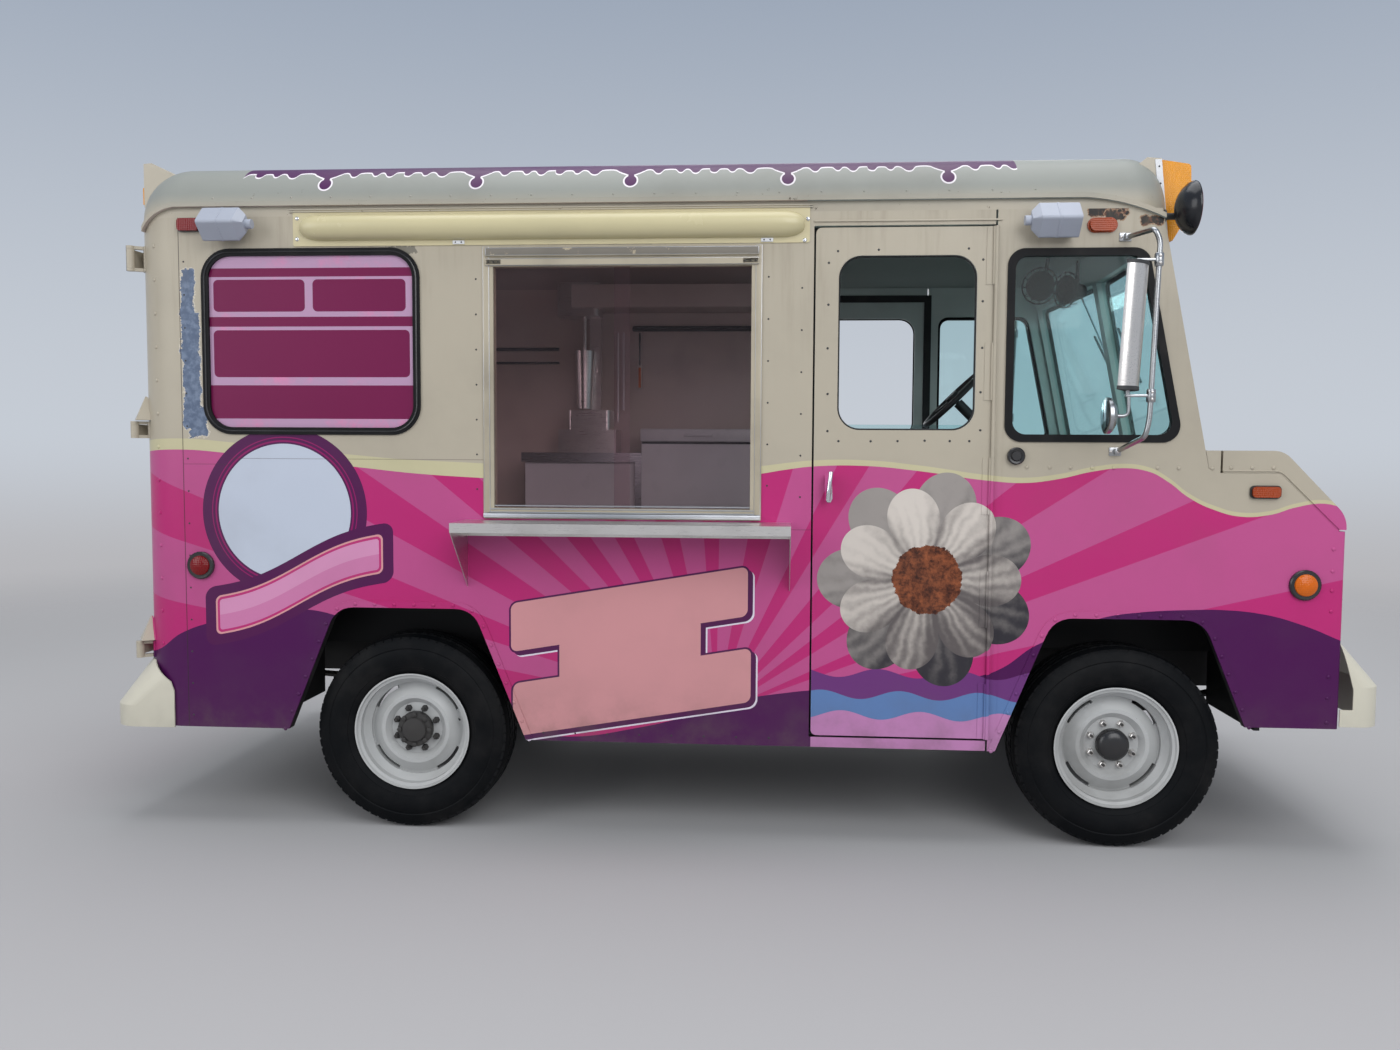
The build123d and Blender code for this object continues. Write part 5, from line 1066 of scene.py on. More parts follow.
def make_doors():
    """Window beads, screws and pulls of the side doors."""
    z = sizes()
    x0, x1, z0, z1 = DOOR_WINDOW
    # a narrow bead just inside the window opening
    ring = rounded_outline(x0 + 0.002, x1 - 0.002, z0 + 0.002, z1 - 0.002, 0.078, 8)
    screws = [(0.411, 2.159), (0.555, 2.163), (0.871, 2.165), (0.922, 2.126), (0.923, 1.980), (0.925, 1.816),
              (0.922, 1.659), (0.924, 1.524), (0.886, 1.485), (0.817, 1.485), (0.728, 1.486), (0.632, 1.484),
              (0.536, 1.483), (0.421, 1.483), (0.381, 1.519), (0.380, 1.652), (0.378, 1.815), (0.379, 1.970),
              (0.379, 2.118)]
    plate = [(0.376, 1.275), (0.384, 1.262), (0.396, 1.262), (0.402, 1.275), (0.400, 1.33), (0.378, 1.33)]
    for side, hand in HANDS:
        body = "door_" + hand
        y = side * SIDE
        form = Form("seal")
        form.tube([(a, side * (SIDE - 0.012), b) for a, b in ring], 0.004, 8, "seal", True)
        form.piece("door_window_bead_" + hand, body)
        spots = on_sides(screws, SIDE, (side,))
        heads("door_screws_" + hand, spots, z.screw_radius, 0.0015, "dark_plastic", body)
        pull = Form("chrome")
        pull.prism(plate, "xz", y, y + side * 0.004)
        pull.rod((0.389, y, 1.300), (0.389, y + side * 0.040, 1.300), 0.010, 14)
        grip = [(0.384, y + side * 0.042, 1.270), (0.386, y + side * 0.046, 1.300),
                (0.391, y + side * 0.044, 1.340), (0.394, y + side * 0.040, 1.372)]
        pull.tube(bent(grip, 0.03), 0.0085, 12)
        pull.piece("door_pull_" + hand, body)


def make_door_seals():
    """Drip rails above the side doors, seals inside all doors and the lap of the rear doors."""
    form = Form("cream")
    form.box(0.325, 0.985, -SIDE - 0.006, -SIDE + 0.001, 2.262, 2.268, bevel=0.001)
    form.mirrored()
    form.piece("door_drip_rails")
    seals = Form("seal")
    low, high = 0.420, 2.262
    for side in (-1, 1):
        y0, y1 = sorted((side * (INSIDE - 0.0055), side * (INSIDE - 0.0010)))
        for x0, x1, z0 in ((0.318, 0.350, low), (0.948, 0.985, low), (0.350, 0.948, 2.226)):
            seals.box(x0, x1, y0, y1, z0, high)
    x = REAR_X + 0.041
    for side in (-1, 1):
        y0, y1 = sorted((side * 0.757, side * 0.79))
        seals.box(x, x + 0.004, y0, y1, 0.655, 2.195)
    seals.box(x, x + 0.004, -0.79, 0.79, 2.178, 2.215)
    seals.piece("door_seals")
    lap = Form("seal")
    lap.box(REAR_X - 0.004, REAR_X - 0.0005, -0.016, 0.004, 0.66, 2.18, bevel=0.001)
    lap.piece("rear_door_lap", "rear_door_right")


def make_gutter():
    """Two fine mouldings below the gutter on each side."""
    form = Form("roof")
    for z in (2.3225, 2.3150):
        form.box(-1.60, 0.32, -SIDE - 0.008, -SIDE + 0.002, z - 0.0025, z + 0.0025, bevel=0.0008)
    form.mirrored()
    form.piece("gutter_mouldings")


def make_awning():
    """The rolled awning's housing: a tube with domed ends, half sunk in its plate."""
    form = Form("awning", "awning_plate")
    x0, x1, z, radius, tip, dome = -1.558, 0.292, 2.256, 0.047, 0.012, 0.080
    y = -SIDE - 0.003
    ends = [dome * (i / 9) ** 1.6 for i in range(10)]
    half_turn = [math.pi * i / 20 for i in range(21)]
    rings = []
    for x in [x0 + e for e in ends] + [x1 - e for e in reversed(ends)]:
        end = min(x - x0, x1 - x, dome)
        r = tip + (radius - tip) * math.sqrt(max(0.0, 1 - (1 - end / dome) ** 2))
        ring = [(x, y - r * math.sin(a), z + r * math.cos(a)) for a in half_turn]
        rings.append(ring + [(x, y + 0.002, z - r), (x, y + 0.002, z + r)])
    form.add(rings)
    plate = rounded_outline(-1.588, 0.310, 2.190, 2.322, 0.008, 3)
    form.prism(plate, "xz", -SIDE - 0.004, -SIDE, "awning_plate")
    form.piece("awning_housing", replaces=("awning_hood",))
    screws = [(-1.572, 2.291), (-1.573, 2.216), (0.303, 2.273), (0.292, 2.198)]
    heads("awning_screws", on_sides(screws, SIDE + 0.004, (-1,)), 0.008, 0.003, "chrome")
    clips = Form("enamel")
    clip_places = (-0.966, 0.158)
    for x in clip_places:
        clips.box(x - 0.022, x + 0.022, -SIDE - 0.009, -SIDE + 0.001, 2.193, 2.207, bevel=0.002)
    clips.piece("awning_clips")
    spots = [(x + d, 2.200) for x in clip_places for d in (-0.011, 0.011)]
    heads("clip_screws", on_sides(spots, SIDE + 0.009, (-1,)), 0.003, 0.001, "dark_plastic")


def make_serving_hatch():
    """Jamb trims, header bars, tracks and catches of the serving hatch."""
    form = Form("aluminium", "hatch_frame", "steel", "tarnish")
    x0, x1 = HATCH
    y = -SIDE
    for x in (x0, x1):
        form.box(x - 0.012, x + 0.012, y - 0.006, y + 0.012, 1.212, 2.184, "hatch_frame", 0.002)
    form.box(x0, x1, y - 0.016, y + 0.004, 2.150, 2.178, "tarnish", 0.002)
    form.box(x0, x1, y - 0.010, y + 0.004, 2.114, 2.140, "hatch_frame", 0.002)
    for zz in (1.214, 1.226, 1.238):
        form.box(x0 + 0.01, x1 - 0.01, y - 0.012 + (zz - 1.214) * 0.5, y + 0.010, zz, zz + 0.004, "aluminium")
    form.box(x0 - 0.012, x1 + 0.012, y - 0.018, y + 0.004, 1.196, 1.212, "aluminium", 0.002)
    for x in (x0 + 0.03, x1 - 0.03):
        form.box(x - 0.028, x + 0.028, y - 0.014, y - 0.010, 2.118, 2.136, "steel", 0.001)
    form.piece("serving_trim")
    spots = [(x + d, 2.127) for x in (x0 + 0.03, x1 - 0.03) for d in (-0.018, 0.0, 0.018)]
    spots += [(x + d, 1.204) for x in (x0 + 0.04, x1 - 0.04) for d in (-0.014, 0.014)]
    heads("serving_screws", on_sides(spots, SIDE + 0.0145, (-1,)), 0.0035, 0.0015, "dark_plastic")


def make_window_fittings():
    # a filler strip runs round the middle of the menu board's rubber
    form = Form("black_gloss")
    menu = rounded_outline(-1.931, -1.127, 1.511, 2.171, 0.097, 8)
    form.tube([(a, -SIDE - 0.006, b) for a, b in menu], 0.0035, 8, None, True)
    form.piece("menu_rubber_bead")
    caps = Form("black_gloss")
    caps.lathe([(0, 0.031), (0.016, 0.031), (0.020, 0.027), (0.018, 0.020), (0.024, 0.016), (0.024, 0.004)],
               (1.050, -SIDE, 1.433), (0, -1, 0), 28)
    caps.piece("side_cap")


def screen_point(y, z, out=0.0):
    """A point on the sloping V of the windscreen, or out ahead of it."""
    x = PILLAR_X - (z - PILLAR_Z) * PILLAR_SLOPE + SCREEN_VEE * (1 - abs(y) / SIDE)
    return Vector((x + out, y, z))


def make_windscreen():
    """The rubbers of the two screen panes and the wipers that hang from the header."""
    form = Form("rubber")
    ring = rounded_outline(0.036, 0.909, 1.506, 2.174, 0.035, 5)
    for side in (-1, 1):
        path = [screen_point(side * a, b, 0.003) for a, b in ring]
        form.tube(path, 0.012, 10, None, True, 0.7, (1, 0, 0.2))
    form.piece("windscreen_rubbers")
    wipers = Form("dark_plastic", "chrome")
    for y in (-0.42, 0.42):
        pivot = screen_point(y, 2.205, 0.012)
        tip = screen_point(y * 0.40, 1.86, 0.022)
        wipers.rod(pivot - Vector((0.02, 0, 0)), pivot + Vector((0.02, 0, 0)), 0.011, 12, "dark_plastic")
        wipers.tube([pivot + Vector((0.014, 0, 0)), tip], 0.0045, 8, "chrome")
        low = screen_point(y * 0.40 - 0.10, 1.74, 0.010)
        high = screen_point(y * 0.40 + 0.10, 1.98, 0.010)
        wipers.tube([low, high], 0.006, 8, "dark_plastic")
    wipers.piece("wipers")


def make_speakers():
    """Grilles, rims and bracket screws of the two rolled box speakers."""
    y = -SIDE - 0.065
    wall = -SIDE - 0.004
    roll = Matrix.Rotation(math.radians(45), 2)
    spots = []
    for name, face, way, z in (("rear", REAR_X + 0.350, -1, 2.261), ("front", FRONT_AXLE - 0.215, 1, 2.248)):
        form = Form("speaker_white", "dark_plastic")

        def square(half, radius, z=z):
            corners = [roll @ Vector(p) for p in rounded_outline(-half, half, -half, half, radius, 5)]
            return [(y + p.x, z + p.y) for p in corners]

        outer, inner = square(0.0445, 0.010), square(0.0385, 0.007)
        low, high = sorted((face - way * 0.001, face + way * 0.004))
        rim = ((low, outer), (high, outer), (high, inner), (low, inner))
        form.add([[(x, a, b) for a, b in ring] for x, ring in rim], "speaker_white", loop=True)
        form.prism(inner, "yz", *sorted((face, face + way * 0.0012)), "dark_plastic")
        for i in range(-4, 5):
            ends = [roll @ Vector((reach, 0.0082 * i)) for reach in (-0.036, 0.036)]
            start, end = [(face + way * 0.002, y + p.x, z + p.y) for p in ends]
            form.rod(start, end, 0.0013, 6, "dark_plastic")
        # a raised band round the middle of the case
        middle = face - way * 0.070
        band = ((-0.004, 0.0448), (-0.003, 0.0462), (0.003, 0.0462), (0.004, 0.0448))
        form.add([[(middle + dx, a, b) for a, b in square(half, 0.011)] for dx, half in band],
                 "speaker_white")
        form.box(middle - 0.024, middle + 0.024, wall, -SIDE, z - 0.030, z + 0.030, "speaker_white", 0.0015)
        form.piece("speaker_trim_" + name)
        spots += [((middle + dx, wall, z + dz), (0, -1, 0))
                  for dx in (-0.017, 0.017) for dz in (-0.022, 0.022)]
    heads("speaker_screws", spots, 0.0035, 0.002, "steel")


def make_lamps():
    """Markers, turn lamps and tail lamps on both sides, head lamps and the rear bumper's lamps."""
    y = -SIDE
    form = Form("amber", "red", "orange", "black_gloss", "chrome", "clear")
    # oval side repeater
    cx, cz, r = 1.330, 2.242, 0.026
    oval = [(r * math.copysign(1, math.cos(a)) + r * math.cos(a), r * math.sin(a)) for a in turns(28)]
    for depth, share in ((0.006, 1.0), (0.018, 0.86)):
        form.prism([(cx + a * share, cz + b * share) for a, b in oval], "xz", y - depth, y, "amber")
    # hood marker
    form.prism(rounded_outline(1.863, 1.968, 1.288, 1.334, 0.014, 4), "xz", y - 0.010, y, "black_gloss")
    form.prism(rounded_outline(1.868, 1.963, 1.292, 1.330, 0.012, 4), "xz", y - 0.020, y, "amber")
    # round turn lamp and tail lamp
    for x, z, r, colour in ((2.062, 0.984, 0.050, "orange"), (-1.968, 1.004, 0.048, "red")):
        rim = [(0, r + 0.004), (0.010, r + 0.004), (0.014, r), (0.013, r - 0.010)]
        cover = [(0.008, r - 0.009), (0.018, r - 0.012), (0.025, r - 0.024), (0.028, 0.006)]
        form.lathe(rim, (x, y, z), (0, -1, 0), 32, "black_gloss")
        form.lathe(cover, (x, y, z), (0, -1, 0), 32, colour)
    # marker high on the rear corner
    form.prism(rounded_outline(-2.027, -1.941, 2.246, 2.297, 0.010, 4), "xz", y - 0.010, y, "black_gloss")
    form.prism(rounded_outline(-2.024, -1.944, 2.249, 2.294, 0.010, 4), "xz", y - 0.022, y, "red")
    form.mirrored()
    # head lamps in the grille panel and lamps in the rear bumper
    head_rim = [(0, 0.098), (0.016, 0.098), (0.022, 0.092), (0.016, 0.084)]
    head_glass = [(-0.01, 0.082), (0.006, 0.080), (0.018, 0.060), (0.024, 0.010)]
    rear_rim = [(0, 0.0338), (0.024, 0.0338), (0.025, 0.031)]
    rear_cover = [(0.018, 0.0305), (0.027, 0.028), (0.031, 0.020), (0.032, 0.006)]
    for side in (-1, 1):
        place = (NOSE_X - 0.002, side * 0.720, 0.960)
        form.lathe(head_rim, place, (1, 0, 0), 40, "chrome")
        form.lathe(head_glass, place, (1, 0, 0), 40, "clear")
        for across, colour in ((0.700, "red"), (0.610, "amber")):
            place = (REAR_BUMPER_X + 0.022, side * across, BUMPER_LAMP_Z)
            form.lathe(rear_rim, place, (-1, 0, 0), 32, "black_gloss")
            form.lathe(rear_cover, place, (-1, 0, 0), 32, colour)
    form.piece("lamp_set", replaces=("lamps",))


def make_warning_lamps():
    """Black domes with a thin red lens at the front, on stems from the pillars."""
    dome = [(0, 0.012), (0.004, 0.028), (0.012, 0.0506), (0.024, 0.070), (0.038, 0.084), (0.052, 0.0915),
            (0.057, 0.0922), (0.060, 0.0915), (0.060, 0.088)]
    cover = [(0.058, 0.0875), (0.063, 0.086), (0.065, 0.070), (0.0655, 0.020)]
    collar = [(0, 0.017), (0.003, 0.024), (0.008, 0.024), (0.010, 0.018)]
    for side, hand in HANDS:
        form = Form("black_house", "red", "dark_plastic")
        back = (FRONT_AXLE + 0.120, side * (SIDE + 0.040), 2.290)
        form.lathe(dome, back, (1, 0, 0), 48, "black_house")
        form.lathe(cover, back, (1, 0, 0), 48, "red")
        foot = screen_point(side * (SIDE - 0.02), 2.274)
        form.rod(foot + Vector((0.001, 0, 0)), (back[0] + 0.040, foot.y, foot.z), 0.012, 16, "dark_plastic")
        form.lathe(collar, foot, (1, 0, 0), 24, "dark_plastic")
        form.piece("warning_lamp_" + hand, replaces=("warning_lamps",) if side < 0 else ())


def make_mirrors():
    """Bent tube arms on bolted brackets, each with a tall half-round head and a round wide-angle mirror."""
    spots = []
    head_x, head_z, half, depth, tall = FRONT_AXLE - 0.078, 1.868, 0.085, 0.052, 0.425
    pin = 0.020
    lean = math.tan(math.radians(3))
    wide_back = [(-0.014, 0.057), (-0.012, 0.0615), (0.0, 0.0615), (0.006, 0.056), (0.018, 0.036),
                 (0.024, 0.014)]
    for side, hand in HANDS:
        form = Form("satin", "dark_plastic", "steel", "mirror_glass")
        wall = side * SIDE
        tube = side * (SIDE + 0.200)
        path = [(1.415, wall, 2.200), (1.449, tube, 2.190), (1.467, tube, 2.150), (1.449, tube, 1.560),
                (1.437, tube, 1.500), (1.400, wall, 1.450)]
        form.tube(bent(path, 0.045, 7), 0.009, 16, "satin")
        for x, z in ((1.415, 2.200), (1.400, 1.450)):
            form.box(x - 0.026, x + 0.016, wall, wall + side * 0.004, z - 0.015, z + 0.015, "satin", 0.0015)
            form.box(x - 0.011, x + 0.011, wall, wall + side * 0.024, z - 0.011, z + 0.011, "satin", 0.003)
            spots.append(((x - 0.019, wall + side * 0.004, z), (0, side, 0)))
            spots.append(((x, wall + side * 0.024, z), (0, side, 0)))
        turn = Matrix.Rotation(math.radians(MIRROR_TURN * side), 3, "Z")

        def facing(a, b, level, tube=tube, turn=turn):
            """A point of the head, turned about its pins towards the driver."""
            local = turn @ Vector((a - pin, b, 0))
            return (head_x + pin + level * lean + local.x, tube + local.y, head_z + level)

        # the head: glass to the rear, brushed back to the front, dark caps at both ends
        for z0, z1, grow, mat in ((-tall / 2 + 0.004, tall / 2 - 0.004, 0.0, "steel"),
                                  (-tall / 2, -tall / 2 + 0.012, 0.0015, "dark_plastic"),
                                  (tall / 2 - 0.012, tall / 2, 0.0015, "dark_plastic")):
            rings = []
            for level in (z0, z1):
                arc = [math.radians(a) for a in range(-90, 91, 10)]
                bow = [((depth + grow) * math.cos(a), (half + grow) * math.sin(a)) for a in arc]
                bow = [(-grow, -half - grow)] + bow + [(-grow, half + grow)]
                rings.append([facing(a, b, level) for a, b in bow])
            form.add(rings, mat)
        rim = half - 0.006
        pane = ((-0.0012, -rim), (0.002, -rim), (0.002, rim), (-0.0012, rim))
        levels = (-tall / 2 + 0.014, tall / 2 - 0.014)
        form.add([[facing(a, b, level) for a, b in pane] for level in levels], "mirror_glass")
        # clamps on the tube, with a flat arm and a pin to each end of the head
        for z, x_tube in ((head_z - tall / 2 - 0.018, 1.4515), (head_z + tall / 2 + 0.008, 1.465)):
            x_pin = head_x + pin + (z - head_z) * lean
            form.box(x_pin - 0.009, x_tube, tube - 0.007, tube + 0.007, z - 0.0045, z + 0.0045, "satin",
                     0.0015)
            form.lathe([(-0.022, 0.013), (-0.019, 0.015), (0.019, 0.015), (0.022, 0.013)], (x_tube, tube, z),
                       (0, 0, 1), 20, "satin")
            form.rod((x_pin, tube, z), (x_pin, tube, head_z + (z - head_z) * 0.9), 0.007, 14, "satin")
            spots += [((x_tube, tube + side * 0.015, z + dz), (0, side, 0)) for dz in (-0.012, 0.012)]
        rx, rz = FRONT_AXLE - 0.128, 1.570
        form.lathe(wide_back, (rx, tube, rz), (1, 0, 0), 40, "satin")
        form.lathe([(-0.0155, 0.050), (-0.013, 0.0565)], (rx, tube, rz), (1, 0, 0), 40, "mirror_glass")
        stem = head_x + 0.012
        form.tube(bent([(rx + 0.020, tube, rz), (stem, tube, rz), (stem, tube, 1.642)], 0.02, 5), 0.006, 12,
                  "satin")
        form.piece("mirror_" + hand, replaces=("mirrors",) if side < 0 else ())
    heads("mirror_bolts", spots, 0.006, 0.004, "steel")


def make_signs():
    """The pale edge strip and rivets on the ends of the front sign's case."""
    low, high, wide, end = 2.200, 2.490, 0.024, 0.883

    def back(z):
        return FRONT_AXLE + 0.144 - (z - 2.193) * 0.107

    form = Form("enamel")
    edge = [(back(low) - wide, low), (back(low) - 0.001, low), (back(high) - 0.001, high),
            (back(high) - wide, high)]
    form.prism(edge, "xz", 0.8795, end)
    form.mirrored()
    form.piece("sign_edges")
    levels = [2.225 + 0.060 * i for i in range(5)]
    spots = [((back(z) - wide / 2, side * end, z), (0, side, 0)) for side in (-1, 1) for z in levels]
    heads("sign_rivets", spots, 0.0035, 0.002, "dark_plastic")


def tyre_profile(depth):
    """Half of the tyre's section: (distance from the middle, radius)."""
    crown = TYRE_RADIUS
    floor = crown - depth
    ribs = []
    for edge, groove in ((0.012, 0.021), (0.048, 0.058)):
        ribs += [(edge, crown - 0.0005), (edge + 0.001, floor), (groove, floor),
                 (groove + 0.001, crown - 0.001)]
    shoulder = [(0.078, 0.3675), (0.090, 0.3625), (0.098, 0.352), (0.1035, 0.336), (0.1075, 0.322),
                (0.1055, 0.318), (0.1085, 0.312), (0.111, 0.296), (0.110, 0.276), (0.106, 0.258),
                (0.1035, 0.250), (0.1015, 0.249), (0.096, 0.236), (0.0900, 0.228), (0.0850, 0.222),
                (0.0840, 0.2098)]
    return [(0.0, crown)] + ribs + shoulder


def make_tyres():
    """Each tyre's ribbed carcass and its rows of blocks on shoulders and crown."""
    z = sizes()
    half = tyre_profile(z.tread_depth)
    whole = [(-a, r) for a, r in reversed(half[1:])] + half
    count = z.tread_lugs
    tree = lugs_tree()
    # distance from the middle, width, radius, skew and share of a step turned
    rows = ((0.086, 0.020, 0.3572, 0.10, 0.0), (-0.086, 0.020, 0.3572, -0.10, 0.5),
            (0.035, 0.024, 0.3655, 0.5, 0.25), (-0.035, 0.024, 0.3655, -0.5, 0.75))
    for end, x in AXLES:
        for side, hand in HANDS:
            body = f"wheel_{end}_{hand}"
            centre = Vector((x, side * WHEEL_Y, AXLE_Z))
            form = Form("tyre")
            form.lathe(whole, centre, (0, 1, 0), 96, loop=True)
            form.piece(f"tyre_carcass_{end}_{hand}", body, (f"tyre_{end}_{hand}",), 28.0)
            merged = bmesh.new()
            for offset, width, radius, skew, phase in rows:
                step = 2 * math.pi / count
                merged.from_mesh(grown(tree, bpy.data.meshes.new("seed"), {
                    "Count": count, "Radius": radius, "Block": (radius * step * 0.80, width, 0.012),
                    "Skew": skew, "Phase": step * phase, "Centre": tuple(centre + Vector((0, offset, 0))),
                    "Finish": MATERIALS["tyre"]}))
            mesh = bpy.data.meshes.new("tread")
            merged.to_mesh(mesh)
            merged.free()
            mesh.materials.append(MATERIALS["tyre"])
            settle(mesh, f"tyre_tread_{end}_{hand}", body)


def make_wheel_fittings():
    """Wheel nuts and studs, hub caps and valves, with flange nuts on the rear hubs."""
    nut = [(0, 0.0135), (0.004, 0.0135), (0.006, 0.0115), (0.018, 0.0115), (0.020, 0.009)]
    front_cap = [(0.010, 0.060), (0.028, 0.059), (0.036, 0.055), (0.044, 0.044), (0.048, 0.026),
                 (0.049, 0.004)]
    rear_cap = [(0.008, 0.067), (0.030, 0.067), (0.034, 0.064), (0.036, 0.050), (0.046, 0.044),
                (0.048, 0.030), (0.050, 0.004)]
    for end, x in AXLES:
        front = end == "front"
        for side, hand in HANDS:
            form = Form("chassis", "steel", "black_gloss")
            out = Vector((0, side, 0))
            face = Vector((x, side * (WHEEL_Y + 0.0295), AXLE_Z))
            for i in range(8):
                base = face + spoke(22.5 + 45 * i) * STUD_CIRCLE
                form.lathe(nut, base, out, 6, "steel" if front else "chassis")
                form.rod(base + out * 0.018, base + out * 0.029, 0.0055, 10, "chassis")
            if front:
                form.lathe(front_cap, face, out, 40, "black_gloss")
            else:
                form.lathe(rear_cap, face, out, 36, "chassis")
                for i in range(8):
                    base = face + spoke(45 * i) * 0.058 + out * 0.033
                    form.lathe([(0, 0.010), (0.009, 0.010), (0.010, 0.008)], base, out, 6, "chassis")
            way = spoke(118 if front else 14)
            foot = Vector((x, side * (WHEEL_Y + 0.052), AXLE_Z)) + way * 0.176
            form.rod(foot, foot + out * 0.030 + way * 0.012, 0.004, 8, "black_gloss")
            form.piece(f"wheel_fittings_{end}_{hand}", f"wheel_{end}_{hand}")


def make_rear():
    """Window rubbers, strap bolts and the pull of the rear doors."""
    x = REAR_X
    for side, hand in HANDS:
        door = Form("chrome", "seal")
        middle = side * 0.3905
        ring = rounded_outline(middle - 0.217, middle + 0.217, 1.558, 2.072, 0.072, 8)
        door.tube([(x - 0.003, a, b) for a, b in ring], 0.010, 10, "seal", True, 1.0, (1, 0, 0))
        if side < 0:
            door.box(x - 0.006, x, -0.105, -0.045, 1.26, 1.38, "chrome", 0.002)
            door.rod((x, -0.075, 1.32), (x - 0.038, -0.075, 1.32), 0.011, 14, "chrome")
            door.box(x - 0.046, x - 0.034, -0.135, -0.060, 1.308, 1.332, "chrome", 0.005)
        door.box(x - 0.003, x + 0.001, side * 0.02, side * 0.755, 1.19, 1.196, "seal")
        door.piece("rear_door_trim_" + hand, "rear_door_" + hand)
        bolts = [((x - 0.012, side * y, z), (-1, 0, 0)) for z in (2.182, 2.142, 1.515, 0.668)
                 for y in (0.690, 0.748)]
        heads("strap_bolts_" + hand, bolts, 0.007, 0.004, "steel", "rear_door_" + hand)


def make_front():
    """Dark backing behind the grille, liners and edge beads of the hood lid, and the bumper bolts."""
    form = Form("dark_plastic")
    form.box(NOSE_X - 0.034, NOSE_X - 0.026, -0.45, 0.45, 0.722, 1.108)
    form.piece("grille_back")
    liner = Form("body")
    strip = [(1.771, 1.3823), (1.9685, 1.3823), (2.1745, 1.1793), (2.1725, 1.1747), (1.9665, 1.3777),
             (1.771, 1.3777)]
    liner.prism(strip, "xz", -SIDE + 0.0015, -SIDE + 0.020)
    liner.mirrored()
    liner.piece("hood_gap_liner")
    bead = Form("body")
    edge = [(x, -SIDE - 0.0005, z) for x, z in ((1.771, 1.3845), (1.968, 1.3845), (2.172, 1.184))]
    bead.tube(bent(edge, 0.02, 4), 0.0022, 8)
    bead.mirrored()
    bead.piece("hood_edge_beads", "hood")
    bolts = [((FRONT_BUMPER_X, side * y, z), (1, 0, 0)) for side in (-1, 1) for y in (0.39, 0.47)
             for z in (0.52, 0.585)]
    bolts += [((REAR_BUMPER_X, side * y, BUMPER_LAMP_Z), (-1, 0, 0)) for side in (-1, 1)
              for y in (0.38, 0.46)]
    heads("bumper_bolts", bolts, 0.012, 0.006, "steel")


def make_service_inside():
    """What shows through the serving window."""
    form = Form("lining", "dark_plastic", "steel", "black_gloss", "orange")
    wall = INSIDE
    # overhead cupboard front, rail, scraper, two hanging bars and wall battens
    form.box(-0.86, 0.13, wall - 0.26, wall - 0.002, 2.175, 2.29, "lining", 0.004)
    form.rod((-0.574, wall - 0.05, 2.088), (0.080, wall - 0.05, 2.088), 0.014, 14, "dark_plastic")
    for x in (-0.565, 0.070):
        form.rod((x, wall, 2.088), (x, wall - 0.05, 2.088), 0.010, 12, "dark_plastic")
    form.box(-0.542, -0.524, wall - 0.07, wall - 0.055, 1.89, 2.070, "black_gloss", 0.004)
    form.box(-0.546, -0.520, wall - 0.074, wall - 0.052, 1.772, 1.89, "orange", 0.006)
    for x, low in ((-0.655, 1.60), (-0.625, 1.66)):
        form.rod((x, wall - 0.03, low), (x, wall - 0.03, 2.07), 0.006, 10, "steel")
    for low, high in ((1.975, 1.995), (1.905, 1.920)):
        form.box(-1.36, -0.972, wall - 0.012, wall, low, high, "dark_plastic", 0.002)
    form.piece("service_fittings")
    edge = Form("satin")
    lo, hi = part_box("counter")
    edge.box(lo.x - 0.004, hi.x + 0.004, lo.y - 0.005, lo.y - 0.001, hi.z - 0.045, hi.z + 0.001)
    edge.box(hi.x - 0.032, hi.x + 0.004, lo.y - 0.005, lo.y - 0.001, hi.z - 0.62, hi.z - 0.046)
    edge.piece("counter_edge")
    lid = Form("enamel", "seal")
    lo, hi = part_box("freezer")
    lid.box(lo.x - 0.006, hi.x + 0.006, lo.y - 0.008, hi.y - 0.002, hi.z - 0.060, hi.z + 0.004, "enamel",
            0.008)
    lid.box(lo.x + 0.002, hi.x - 0.002, lo.y - 0.004, lo.y + 0.01, hi.z - 0.070, hi.z - 0.060, "seal")
    middle = (lo.x + hi.x) / 2
    lid.box(middle - 0.07, middle + 0.07, lo.y - 0.018, lo.y - 0.006, hi.z - 0.034, hi.z - 0.020, "enamel",
            0.004)
    lid.piece("freezer_lid")


def make_cab_inside():
    """Two small caged fans under the header, turned to the driver."""
    form = Form("dark_plastic", "black_gloss")
    up = Vector((0, 0, 1))
    for x, y, z, turn in ((1.344, -0.02, 2.165, 1.0), (1.490, 0.05, 2.160, 0.45)):
        hub = Vector((x, y, z))
        axis = Vector((-math.cos(turn), -math.sin(turn), 0))
        aside = axis.cross(up)

        def at(reach, radius, a, hub=hub, axis=axis, aside=aside):
            return hub + axis * reach + (aside * math.cos(a) + up * math.sin(a)) * radius

        form.lathe([(-0.05, 0.028), (0.02, 0.040), (0.034, 0.030)], hub, axis, 20, "dark_plastic")
        form.lathe([(0.036, 0.064), (0.040, 0.064)], hub, axis, 20, "dark_plastic")
        for r in (0.030, 0.055, 0.078):
            ring = [at(0.045 + (0.078 - r) * 0.25, r, a) for a in turns(24)]
            form.tube(ring, 0.003, 5, "black_gloss", True, 1.0, axis)
        for a in turns(12):
            wire = [at(0.058, 0.012, a), at(0.045, 0.078, a), at(0.012, 0.072, a)]
            form.tube(wire, 0.0022, 5, "black_gloss")
        form.rod(hub - axis * 0.02, (x + 0.015, y, 2.29), 0.008, 10, "dark_plastic")
    form.piece("cab_fans")


# Soft pieces


